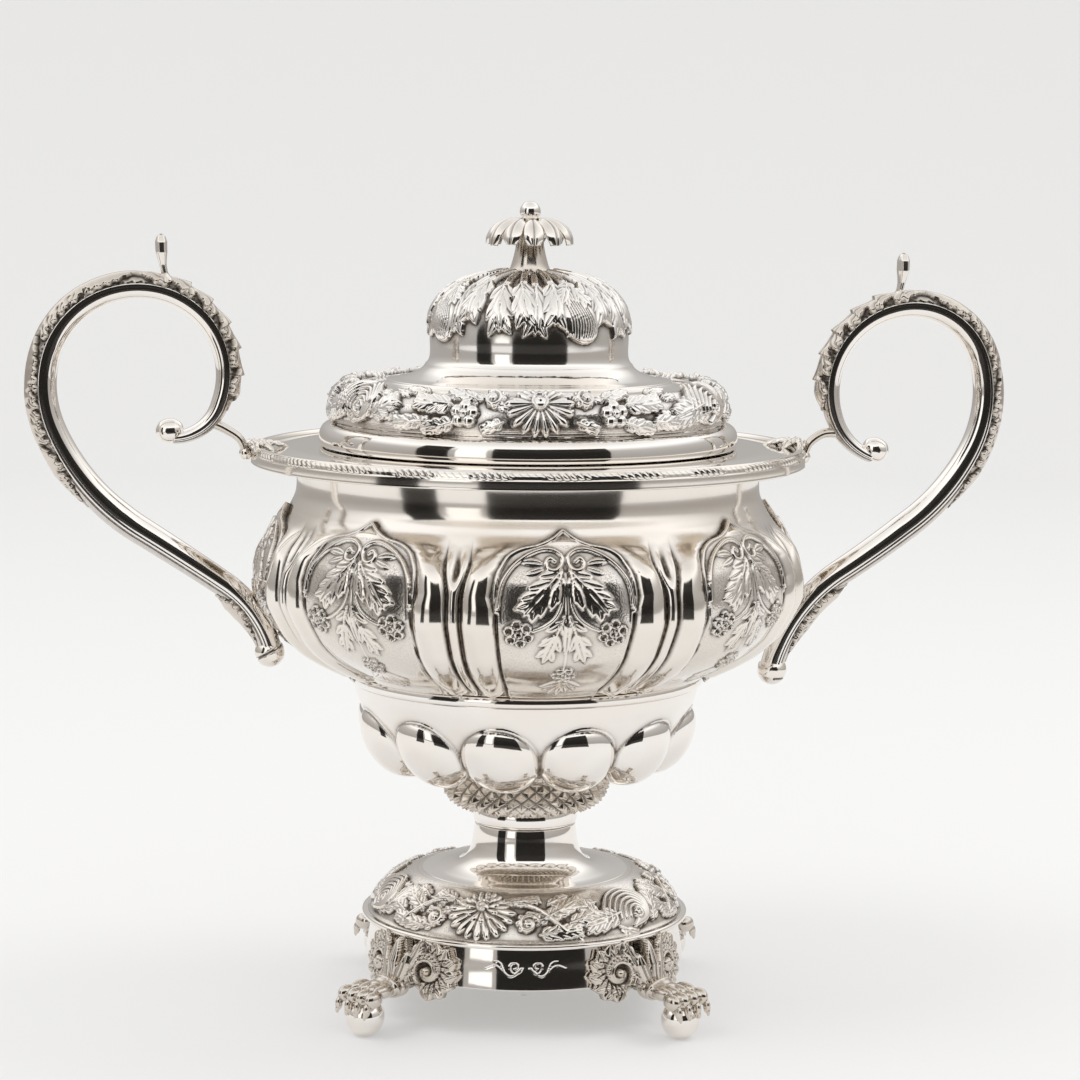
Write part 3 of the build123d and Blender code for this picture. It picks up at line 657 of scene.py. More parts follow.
def belly_panel(x):
    """A panel under an ogee arch: scrolls, leaves and three flowers on matted ground."""
    g = PANEL_GROUND
    for side in (-1, 1):
        body.at(x, 0, side)
        arch = smooth([(13.7 * DEG, 42.5), (14.2 * DEG, 46.5), (13.8 * DEG, 52.4), (12.6 * DEG, 56.1),
                       (11.4 * DEG, 58.4), (9.0 * DEG, 60.1), (5.3 * DEG, 61.2), (2.3 * DEG, 63.0),
                       (0, 65.4)], 40)
        body.stroke(arch, 1.5, 0.7, (1.0, 0.8), base=1.2)
        strand = smooth([(13.5 * DEG, 43.6), (13.1 * DEG, 48.2), (12.2 * DEG, 52.0), (10.3 * DEG, 55.6),
                         (7.7 * DEG, 58.2), (4.8 * DEG, 59.7), (2.4 * DEG, 59.6), (0.7 * DEG, 58.0),
                         (0.7 * DEG, 55.8), (1.9 * DEG, 54.0), (3.5 * DEG, 54.4), (3.9 * DEG, 56.1),
                         (3.1 * DEG, 57.4), (2.2 * DEG, 56.5)], 80)
        body.stroke(strand, 1.5, 0.95, (0.75, 1.0), base=g - 0.1)
        body.stroke([(13.2 * DEG, 43.4), (12.9 * DEG, 24), (12.2 * DEG, 3)], 0.9, 0.25, (1.0, 0.6), base=1.35)
        body.leaf((4.4 * DEG, 55.6), (9.2 * DEG, 56.0), 2.6, g + 0.75, 0.15, 0)
        body.leaf((4.2 * DEG, 54.8), (8.3 * DEG, 53.0), 2.2, g + 0.7, -0.1, 0)
        body.frond((1.0, 54.0), (8.5 * DEG, 41.4), 7.6, g + 0.95, 4, 3.9, 32)
        body.frond((1.0, 53.4), (3.2 * DEG, 43.0), 4.0, g + 1.1, 2, 2.8, 24)
        stem = smooth([(0.7, 51.5), (1.2, 45.5), (2.9, 41.2), (6.0, 38.6), (9.0, 37.2)], 24)
        body.stroke(stem, 1.2, 0.75, (0.8, 1.0), base=g - 0.1)
        body.flower((9.4 * DEG, 36.3), 4.3, 6, g + 1.05, 20)
        body.frond((0.8, 41.4), (4.6 * DEG, 26.0), 6.4, g + 0.95, 3, 2.7, 32)
    body.at(x)
    body.leaf((0.2, 42), (0.3, 29), 2.6, g + 0.95, 0.0, 0)
    body.stroke([(-0.1, 53), (0.1, 39)], 1.0, 0.7, base=g - 0.1)
    body.stroke([(0.3, 39), (0.4, 24)], 0.8, 0.6, base=g - 0.1)
    for n in range(7):
        a = radians(202 + 22.7 * n)
        body.leaf((0.8, 18.8), (0.8 + 8.6 * cos(a), 16.6 + 11.2 * sin(a)), 3.4, g + 0.85, 0.06 * (3 - n), 0)
    body.flower((0.7, 21.0), 3.9, 6, g + 1.1, 0)


for k in range(PANELS):
    belly_gap((k + 0.5) * SECTOR * DEG)
    belly_panel(k * SECTOR * DEG)
body.h = body.h + lowest
upper = np.clip((grid_s - 30) / 8, 0, 1)
body.matted = panel * (0.4 + 0.6 * upper) * (body.h - lowest < PANEL_GROUND + 0.35) * (grid_s < 61)
body.h = 0.85 * body.h + 0.15 * body.blurred(0.25)
settle(turned("bowl_body_chased", belly, belly_inside, BODY_COLUMNS, CHASED, body, wobble=0.05), "bowl_body")


# ---------------------------------------------------------------- cup, knop and stem

CUP_LOBES = 12
FIRST_LOBE = -106.5                    # azimuth of one lobe
CUP_COLUMNS, CUP_ROWS = 864, 150
cup_line = smooth([(24.0, 67.2), (27.5, 67.9), (32.5, 69.9), (38.4, 73.2), (42.6, 77.8), (46.6, 84.0),
                   (48.8, 89.6),
                   (49.9, 93.6)], CUP_ROWS)
cup_inside = smooth([(48.4, 93.6), (46.2, 86), (41.6, 79.6), (36.6, 75), (30, 71.4), (23, 69.6), (8, 69.2),
                     (0.2, 69.2)],
                    16)
cup_under = [(0.2, 68.0), (12, 68.0), (22, 67.6)]
CUP_R = 44.0
CUP_DEG = CUP_R * pi / 180
cup = Relief(FULL * CUP_DEG, line_length(cup_line), CUP_COLUMNS, CUP_ROWS)
for k in range(CUP_LOBES):
    cup.at((FIRST_LOBE + k * FULL / CUP_LOBES) * CUP_DEG)
    cup.dome((-0.6, 19.4), (11.6, 13.4), 5.6, turn=16, power=0.7)
    over_lobe = [(-11.2 * cos(a) - 0.6, 19.4 + 13.6 * sin(a)) for a in np.linspace(0.3, 2.9, 9)]
    cup.stroke(smooth(over_lobe, 30), 0.9, 0.35)
settle(turned("bowl_cup_lobed", cup_line, np.vstack([cup_inside, cup_under]), CUP_COLUMNS, POLISHED, cup,
              wobble=0.05, patina=cup.patina(0.3, 1.0, 1.1)), "bowl_cup")

KNOP_DIAMONDS = 34
DIAMOND_ROWS = 4.2
KNOP_COLUMNS, KNOP_ROWS = KNOP_DIAMONDS * 30, 90
knop_line = smooth([(14.2, 56.9), (18.2, 57.6), (21.2, 59.3), (22.9, 61.8), (23.5, 64.6), (23.5, 67.7)],
                   KNOP_ROWS)
knop_inside = smooth([(22.3, 67.7), (21.6, 64.4), (19.6, 61.6), (16.6, 59.2), (13.4, 57.9), (13.0, 57.0)], 10)
knop = Relief(FULL, line_length(knop_line), KNOP_COLUMNS, KNOP_ROWS)
around = np.arange(KNOP_COLUMNS)[None, :] * knop.dx / FULL * KNOP_DIAMONDS
upward = np.arange(KNOP_ROWS)[:, None] * knop.dy / knop.height * DIAMOND_ROWS
one = np.abs(np.mod(around + upward, 1) - 0.5) * 2
two = np.abs(np.mod(around - upward, 1) - 0.5) * 2
facet = np.minimum(1 - one, 1 - two)
knop.h = 1.9 * facet - 0.6
knop_dark = np.clip(1 - facet / 0.26, 0, 1) ** 1.2
settle(turned("knop_collar_pineapple", knop_line, knop_inside, KNOP_COLUMNS, CAST, knop, patina=knop_dark),
       "knop_collar")

settle(turned("stem_ring_turned", smooth([(13.6, 51.9), (14.7, 52.3), (15.05, 53.6), (15.05, 55.2),
                                          (14.7, 56.4),
                                          (13.6, 56.8)], 40),
              [(12.6, 56.8), (12.6, 51.9)], 256, POLISHED, wobble=0.03), "stem_ring")
settle(turned("foot_spool_turned", smooth([(29.9, 38.5), (24.7, 38.9), (19.6, 40.0), (16.6, 42.6),
                                           (15.3, 46.4),
                                           (14.8, 50.2), (14.5, 51.9)], 90),
              smooth([(13.3, 51.9), (13.6, 47), (15.6, 41.6), (20, 38.2), (29.9, 37.3)], 20), 360, POLISHED,
              wobble=0.04), "foot_spool")
settle(turned("body_ring_turned", smooth([(49.2, 93.6), (50.6, 93.9), (51.0, 95.0), (50.7, 96.3),
                                          (49.6, 96.8)], 24),
              [(48.0, 96.8), (48.0, 93.6)], 360, POLISHED, wobble=0.04), "body_ring")


# ---------------------------------------------------------------- foot


def scroll_leaf(relief, x, y, size, turn, height):
    """A curled strand with leaf lobes along its outer side and a bud in its eye."""
    for n in range(6):
        a = radians(turn + 42 * n)
        r = size * (1.0 - 0.09 * n)
        root = (x + 0.45 * r * cos(a), y + 0.45 * r * sin(a))
        tip = (x + 1.35 * r * cos(a + 0.45), y + 1.35 * r * sin(a + 0.45))
        relief.leaf(root, tip, 0.62 * size, height * 0.8, 0.16, 0, 0.5, 0.4)
    strand = spiral(x, y, 0.85 * size, 0.25 * size, turn, 1.25)
    relief.stroke(strand, 0.34 * size, 0.5 * height, (0.7, 1.0), base=0.6 * height)
    relief.dome((x, y), (0.3 * size, 0.3 * size), 0.6 * height, base=0.6 * height)


def shell(relief, x, y, size, height):
    """Ridges that sweep over and round an eye, close together on one side and spread on the other."""
    relief.dome((x, y), (size, size * 0.82), 0.6 * height, power=0.3)
    relief.frond((x - 0.5 * size, y - 0.2 * size), (x - 1.9 * size, y - 0.5 * size), 0.7 * size, 0.9 * height,
                 4, 0.36 * size)
    for n in range(6):
        r = size * (1.0 - 0.14 * n)
        u, v = x + 0.42 * (size - r), y - 0.36 * (size - r)
        wave = [(u - 1.1 * r, v - 0.5 * r), (u - 0.98 * r, v + 0.1 * r), (u - 0.5 * r, v + 0.64 * r),
                (u + 0.35 * r, v + 0.76 * r), (u + 0.95 * r, v + 0.2 * r), (u + 0.74 * r, v - 0.5 * r),
                (u, v - 0.72 * r)]
        relief.stroke(smooth(wave, 36), 0.17 * size, 0.5 * height, (0.5, 1.0), base=0.45 * height)
    eye = spiral(x + 0.34 * size, y - 0.28 * size, 0.24 * size, 0.04 * size, 200, 1.3)
    relief.stroke(eye, 0.13 * size, 0.5 * height, base=0.6 * height)


def ground_leaves(relief, count, low, high, size, height):
    """Small leaves all over the ground, under the larger ones."""
    for n in range(count):
        x = relief.width * (n + rng.uniform(-0.4, 0.4)) / count
        y = rng.uniform(low, high)
        a = rng.uniform(-0.5, 0.5) + (0 if n % 2 else pi)
        relief.at(x, y)
        relief.frond((0, 0), (size * cos(a), size * sin(a)), 0.45 * size, height, 3, 0.26 * size)


FOOT_MOTIFS = 3
FIRST_FLOWER = -115.0                  # azimuth of the first flower on the foot
FOOT_COLUMNS, FOOT_ROWS = 1080, 110
foot_line = smooth([(45.5, 26.8), (44.6, 28.2), (42.5, 31.7), (38.8, 35.4), (34.6, 37.7), (31.6, 38.6),
                    (29.7, 38.5)], FOOT_ROWS)
foot_inside = smooth([(29.7, 37.3), (34, 36.4), (37.6, 34.2), (41, 30.8), (43, 27.8), (43.6, 26.8)], 14)
FOOT_R = 41.0
FDEG = FOOT_R * pi / 180
foot = Relief(FULL * FDEG, line_length(foot_line), FOOT_COLUMNS, FOOT_ROWS)
ground_leaves(foot, 64, 2.5, 13.0, 7.0, 0.7)
for k in range(FOOT_MOTIFS):
    start = FIRST_FLOWER + k * FULL / FOOT_MOTIFS
    foot.at(start * FDEG)
    foot.fan((0, 10.4), 1.6, 10.2, 180, 180, 11, 1.35, 0.2)
    foot.fan((0, 9.8), 1.6, 7.4, 0, 180, 9, 1.1, 0.2)
    foot.fan((0, 10.2), 1.2, 5.0, 0, 360, 11, 1.5, 0.25)
    foot.dome((0, 10.6), (2.4, 2.0), 1.9)
    foot.stroke(spiral(0, 10.6, 2.0, 0.5, 40, 1.3), 0.7, 0.4, base=1.7)
    for side in (-1, 1):
        foot.at(start * FDEG, 0, side)
        scroll_leaf(foot, 13.4, 5.6, 3.6, 20, 1.4)
        foot.frond((25.0, 5.6), (35.0, 8.6), 4.6, 1.2, 4, 2.5, 30)
        foot.frond((9.6, 12.8), (17.6, 14.6), 3.6, 1.1, 4, 2.0)
        foot.stroke(smooth([(9.6, 12.0), (14.2, 11.4), (18.6, 8.6), (23.4, 3.2)], 24), 1.3, 0.6, (0.7, 1.0),
                    base=0.9)
        foot.frond((16.5, 2.6), (28.5, 3.8), 4.6, 1.25, 5, 2.3, 30)
        foot.frond((18.5, 7.6), (30.5, 13.6), 5.0, 1.3, 5, 2.5, 30)
        foot.frond((19.5, 12.0), (27.0, 15.6), 3.2, 1.15, 3, 2.0)
    foot.at((start + 0.5 * FULL / FOOT_MOTIFS) * FDEG)
    shell(foot, 1.5, 8.4, 8.2, 1.6)
    foot.frond((-9.6, 7.6), (-15.6, 14.4), 4.4, 1.3, 4, 2.4)
    foot.frond((9.0, 2.8), (14.6, 12.8), 5.0, 1.35, 4, 2.6)
foot.h = 0.68 * foot.h + 0.17 * foot.blurred(0.25)
foot.matted = (foot.h < 0.25) * 0.8
up_foot = np.arange(FOOT_ROWS)[:, None] * foot.dy
fade = np.clip(up_foot / 1.2, 0, 1) * np.clip((foot.height - up_foot) / 1.5, 0, 1)
foot.h = foot.h * fade - 0.35 * fade
settle(turned("foot_dome_chased", foot_line, foot_inside, FOOT_COLUMNS, CHASED, foot), "foot_dome")
moulding_line = smooth([(45.6, 25.2), (46.9, 25.3), (47.25, 26.0), (46.9, 26.7), (45.6, 26.8)], 20)
settle(turned("foot_moulding_turned", moulding_line, [(43.8, 26.8), (43.8, 25.2)], 360, POLISHED,
              wobble=0.03),
       "foot_moulding")

# The drum, with an engraved flourish of two scrolls at the front
PLINTH_FOOT_R, PLINTH_LOW, PLINTH_HIGH = 46.1, 13.6, 25.2
PLINTH_TAPER = 1.7
PLINTH_SLOPE = PLINTH_TAPER / (PLINTH_HIGH - PLINTH_LOW)
PLINTH_DEG = PLINTH_FOOT_R * pi / 180
FLOURISH = -97.0                       # azimuth of the flourish
DRUM_COLUMNS, DRUM_ROWS = 1080, 60
plinth_line = even([(PLINTH_FOOT_R, PLINTH_LOW), (PLINTH_FOOT_R - PLINTH_TAPER, PLINTH_HIGH)], DRUM_ROWS)
drum = Relief(FULL * PLINTH_DEG, PLINTH_HIGH - PLINTH_LOW, DRUM_COLUMNS, DRUM_ROWS)
drum.at(FLOURISH * PLINTH_DEG, 6.0)
for side in (-1, 1):
    drum.flip = side
    drum.stroke(spiral(3.2, 0.4, 2.2, 0.5, 200, 1.2), 0.34, -0.22, (0.5, 1.0))
    drum.stroke(smooth([(1.2, 0), (4.5, -2.2), (8.5, 0.6), (11.5, -0.2)], 30), 0.4, -0.22, (1.0, 0.3))
    drum.stroke(smooth([(6.4, -0.8), (7.6, 1.6), (9.8, 1.8)], 16), 0.3, -0.18, (1.0, 0.3))
settle(turned("plinth_polished", plinth_line, [(43.2, PLINTH_HIGH), (44.9, PLINTH_LOW)], DRUM_COLUMNS,
              POLISHED, drum, wobble=0.05, patina=np.clip(-drum.h * 5, 0, 1)), "plinth")


# ---------------------------------------------------------------- swept and cut pieces

def cut_plate(name, front, back, keep, material, patina=None, matted=None):
    """A closed plate made of the cells whose four corners are kept, walled round every edge."""
    rows, columns, _ = front.shape
    count = rows * columns
    faces = grid_faces(rows, columns, wrap_columns=False)
    faces = faces[keep.ravel()[faces].all(axis=1)]
    edges = np.vstack([faces[:, [0, 1]], faces[:, [1, 2]], faces[:, [2, 3]], faces[:, [3, 0]]])
    forward_key = edges[:, 0] * count + edges[:, 1]
    backward_key = edges[:, 1] * count + edges[:, 0]
    rim = edges[~np.isin(forward_key, backward_key)]
    wall = np.stack([rim[:, 1], rim[:, 0], rim[:, 0] + count, rim[:, 1] + count], axis=1)
    every = np.vstack([faces, faces[:, ::-1] + count, wall])
    used, index = np.unique(every, return_inverse=True)
    verts = np.vstack([front.reshape(-1, 3), back.reshape(-1, 3)])[used]
    values = [None if v is None else np.r_[np.ravel(v), np.ravel(v)][used] for v in (patina, matted)]
    return make_mesh(name, verts, index.reshape(every.shape), material, *values)


def swept(name, centre, normal, binormal, across, along, material, ridge=None, sides=64, patina=None):
    """A tube along a line with an oval section, closed with rounded ends."""
    centre = np.asarray(centre, float)
    phi = np.arange(sides) * 2 * pi / sides
    rim = 1.0 if ridge is None else 1.0 + ridge(phi)
    n = normal[:, None, :] * (along[:, None] * np.cos(phi) * rim)[..., None]
    b = binormal[:, None, :] * (across[:, None] * np.sin(phi) * rim)[..., None]
    verts = centre[:, None, :] + n + b
    tangent = np.gradient(centre, axis=0)
    tangent /= np.linalg.norm(tangent, axis=1)[:, None]
    first, last = [], []
    for a in np.radians((86, 70, 50, 30, 12)):
        first.append(centre[0] - tangent[0] * along[0] * 0.7 * sin(a) + (verts[0] - centre[0]) * cos(a))
        tip = centre[-1] + tangent[-1] * along[-1] * 0.7 * sin(a)
        last.insert(0, tip + (verts[-1] - centre[-1]) * cos(a))
    verts = np.concatenate([first, verts, last])
    rows = len(verts)
    faces = grid_faces(rows, sides)
    flat = verts.reshape(-1, 3)
    caps = np.array([[0, (sides - k) % sides, (sides - k - 1) % sides, (sides - k - 2) % sides]
                     for k in range(0, sides - 2, 2)])
    top = (rows - 1) * sides
    caps2 = np.array([[top, top + k + 1, top + k + 2, top + (k + 3) % sides] for k in range(0, sides - 2, 2)])
    dark = np.zeros((rows, sides)) if patina is None else np.broadcast_to(patina(phi), (rows, sides))
    return make_mesh(name, flat, np.vstack([faces, caps, caps2]), material, dark)


def oriented(obj, place, direction):
    """Stands a piece made round the Z axis at a place, its axis along a direction."""
    turn_to = Vector(direction).to_track_quat("Z", "Y").to_matrix().to_4x4()
    obj.data.transform(Matrix.Translation(Vector(place) * MM) @ turn_to)
    return obj


def tarnish_hollows(obj, gain=1.0, smoothing=2):
    """Darkens the creases of a mesh: the places where its neighbours stand higher."""
    mesh = obj.data
    count = len(mesh.vertices)
    co = np.zeros(count * 3)
    mesh.vertices.foreach_get("co", co)
    co = co.reshape(-1, 3)
    no = np.zeros(count * 3, np.float32)
    mesh.vertex_normals.foreach_get("vector", no)
    no = no.reshape(-1, 3)
    ends = np.zeros(len(mesh.edges) * 2, np.int32)
    mesh.edges.foreach_get("vertices", ends)
    ends = ends.reshape(-1, 2)
    degree = np.bincount(ends.ravel(), minlength=count)[:, None]

    def around(values):
        out = np.zeros(values.shape)
        np.add.at(out, ends[:, 0], values[ends[:, 1]])
        np.add.at(out, ends[:, 1], values[ends[:, 0]])
        return out / np.maximum(degree, 1)

    hollow = ((around(co) - co) * no).sum(1, keepdims=True)
    for _ in range(smoothing):
        hollow = 0.5 * hollow + 0.5 * around(hollow)
    spacing = np.linalg.norm(co[ends[:, 0]] - co[ends[:, 1]], axis=1).mean()
    value = np.clip(hollow[:, 0] / spacing * 9 * gain - 0.1, 0, 1)
    if "patina" not in mesh.attributes:
        mesh.attributes.new("patina", "FLOAT", "POINT")
        mesh.attributes.new("matted", "FLOAT", "POINT")
    mesh.attributes["patina"].data.foreach_set("value", value)
    return obj


def blade(name, spine, across, up, half_width, crown, thick, material, columns=17, teeth=0, vein=0.3,
          droop=0.0):
    """A leaf or petal along a spine: pointed or rounded outline, crowned face, sunk vein."""
    spine = np.asarray(spine, float)
    rows = len(spine)
    t = np.linspace(0, 1, rows)
    u = np.linspace(-1, 1, columns)
    half = np.interp(t, np.linspace(0, 1, len(half_width)), half_width)
    if teeth:
        half = half * (1 - 0.3 * np.mod(-t * teeth, 1.0) * (t > 0.08) * (t < 0.97))
    x = u[None, :] * half[:, None]
    lift = crown * (1 - u[None, :] ** 2) - vein * np.exp(-((u[None, :] / 0.16) ** 2)) - droop * u[None,
                                                                                                  :] ** 2
    if teeth:
        from_spine = np.abs(u[None, :])
        lift = lift + 0.16 * np.cos(2 * pi * (t[:, None] * teeth - from_spine * 0.8)) * (0.3 + from_spine)
    lift = lift * np.clip(half[:, None] / max(half_width) * 2, 0.1, 1)
    sideways = across[:, None, :] * x[..., None]
    front = spine[:, None, :] + sideways + up[:, None, :] * lift[..., None]
    back = spine[:, None, :] + sideways * 0.96 + up[:, None, :] * (0.6 * lift - thick)[..., None]
    dark = np.clip(np.exp(-((u[None, :] / 0.12) ** 2)) * (vein > 0.05) + 0.5 * (np.abs(u[None, :]) > 0.93), 0,
                   1)
    return sewn(name, front, back, material, np.broadcast_to(dark * 0.7, lift.shape))


# ---------------------------------------------------------------- handles

TUBE_ACROSS, TUBE_ALONG = 3.4, 2.9     # half widths of the oval tube
# The centre line of each handle: where it starts, its heading, and each arc's radius and turn.
HANDLES = {
    "right": {"out": 1, "start": (100.4, 158.6), "heading": 160, "strut": (88.4, 165.6), "bead_z": 157.6,
              "thumb": (108.9, 205.4),
              "arcs": ((18.4, -57), (24.2, -96), (22.2, -83), (38.0, -41), (60.0, -26), (290, -5),
                       (45.8, 44))},
    "left": {"out": -1, "start": (100.5, 164.8), "heading": 180, "strut": (88.6, 168.8), "bead_z": 159.4,
             "thumb": (104.0, 209.8),
             "arcs": ((13.3, -66), (23.7, -98), (26.5, -94), (33.2, -34), (61.0, -36), (800, 2), (32.8, 42))},
}
BEAD_X = 80.6
LEAFLET_STEP = 6.4                     # between the overlapping leaflets under the thumb piece


def handle_run(handle, first, last, spacing=0.5, trim=1.0):
    """Points and outward normals along some arcs of a handle, in its own plane."""
    x, y = handle["start"]
    heading_now = handle["heading"]
    points, normals = [], []
    for number, (radius, turn_by) in enumerate(handle["arcs"][:last + 1]):
        side = 1 if turn_by > 0 else -1
        centre_x = x - side * radius * sin(radians(heading_now))
        centre_y = y + side * radius * cos(radians(heading_now))
        part = trim if number == last else 1.0
        steps = max(4, int(radius * radians(abs(turn_by)) / spacing))
        if number >= first:
            arc = np.linspace(heading_now, heading_now + turn_by * part, steps, endpoint=number == last)
            for a in np.radians(arc):
                points.append((centre_x + side * radius * sin(a), centre_y - side * radius * cos(a)))
                normals.append((-sin(a), cos(a)))
        heading_now += turn_by
        x = centre_x + side * radius * sin(radians(heading_now))
        y = centre_y - side * radius * cos(radians(heading_now))
    return np.array(points), np.array(normals)


def tube_size(handle, first, run):
    """Half widths of the tube across and along its plane, and how far it swells to its inner side."""
    lengths = [radius * radians(abs(turn_by)) for radius, turn_by in handle["arcs"]]
    place = (sum(lengths[:first]) + run) / sum(lengths)
    swell = np.interp(place, [0, 0.08, 0.25, 0.45, 0.62, 0.72, 0.85, 1.0],
                      [0.62, 0.9, 1.08, 1.2, 1.36, 1.42, 1.3, 1.15])
    return TUBE_ACROSS * (0.5 + 0.5 * swell), TUBE_ALONG * swell, TUBE_ALONG * (1 - swell) * 0.8


def in_plane(points, out):
    """From a handle's own plane to the bowl's frame."""
    p = np.asarray(points, float)
    return np.stack([out * p[..., 0], np.zeros(p.shape[:-1]), p[..., 1]], axis=-1)


def tube_ribs(phi):
    """A bead line each side of the outer face of the tube."""
    d = np.abs(np.mod(phi + pi, 2 * pi) - pi)
    return -0.11 * np.exp(-((d - 0.98) / 0.07) ** 2) + 0.05 * np.exp(-((d - 1.16) / 0.1) ** 2)


def bead_tarnish_and_leaf_shade(phi):
    """Tarnish along the bead lines, and painted shade on the outer face under the leafage."""
    d = np.abs(np.mod(phi + pi, 2 * pi) - pi)
    return 0.9 * np.exp(-((d - 0.98) / 0.08) ** 2) + 0.35 * (d < 0.95)


def leafage(name, handle, first, last, trim, feathered, width, material):
    """Cast leaves that wrap the outer side of the tube, with a toothed edge that tapers to a tip."""
    points, normals = handle_run(handle, first, last, 0.3, trim)
    n = len(points)
    run = np.r_[0, np.cumsum(np.linalg.norm(np.diff(points, axis=0), axis=1))]
    total = run[-1]
    rows = 49
    strip = Relief(total, 2 * width, n, rows)
    split = 0.0
    if feathered:
        gap_to = np.linalg.norm(points + 3.6 * normals - np.array(handle["thumb"]), axis=1)
        split = run[int(np.argmin(gap_to))]
    strip.h[:] = 0.25
    x = split - 1.0
    while x > 7:
        strip.leaf((x + 2.5, width), (x - 6.6, width), 6.6, 2.1, 0.0, 0, 0.62, vein=0.6)
        for side in (-1, 1):
            strip.leaf((x + 1.0, width + side), (x - 5.2, width + side * 4.6), 3.6, 2.4, 0.2 * side, 0, 0.6,
                       vein=0.5)
        x -= LEAFLET_STEP
    x = split + 1.0
    smooth_turn = True
    while x < total - 6:
        if smooth_turn:
            strip.leaf((x, width), (x + 15.0, width), 8.0, 2.4, 0.0, 0, 0.5, vein=0.2)
            for side in (-1, 1):
                strip.leaf((x + 6.0, width + side), (x + 13.0, width + side * 4.4), 2.8, 1.7, 0, 0)
            x += 12.5
        else:
            for k in range(4):
                strip.leaf((x + 3.4 * k - 1.5, width), (x + 3.4 * k + 4.4, width), 4.4, 2.5, 0, 0)
                for side in (-1, 1):
                    strip.leaf((x + 3.4 * k - 1, width), (x + 3.4 * k + 4.2, width + side * 4.2), 2.9, 2.0, 0,
                               0)
            x += 14.0
        smooth_turn = not smooth_turn
    height = 0.8 * strip.h + 0.2 * strip.blurred(0.2)
    dark = strip.patina(0.35, 1.0, 2.0)
    taper = np.clip((total - run) / 12.0, 0.06, 1) * np.clip(run / 5.0, 0.2, 1)
    spread = (1.12 + 0.1 * np.cos(2 * pi * run / 2.4)) * (0.35 + 0.65 * taper)
    v = np.linspace(-1, 1, rows)[:, None]
    phi = v * spread[None, :]
    edge = np.clip((1 - np.abs(v)) / 0.2, 0.12, 1)
    lifted = np.mod((split - 1.0 - run) / LEAFLET_STEP, 1) * (run < split) * taper
    rise = (0.25 + height * 0.68 * taper[None, :]) * edge + 1.1 * lifted**2 * np.clip(1.1 - np.abs(v), 0, 1)
    half_across, half_along, inwards = tube_size(handle, first, run)
    out_n = (half_along + rise) * np.cos(phi) + inwards
    out_b = (half_across + rise) * np.sin(phi)
    in_n = (half_along - 0.5) * np.cos(phi) + inwards
    in_b = (half_across - 0.5) * np.sin(phi)
    p3 = in_plane(points, handle["out"])[None]
    n3 = in_plane(normals, handle["out"])[None]
    b3 = np.array([0.0, handle["out"], 0.0])
    front = p3 + n3 * out_n[..., None] + b3 * out_b[..., None]
    back = p3 + n3 * in_n[..., None] + b3 * in_b[..., None]
    return sewn(name, front, back, material, np.maximum(dark, 0.5 * (edge < 0.5)))


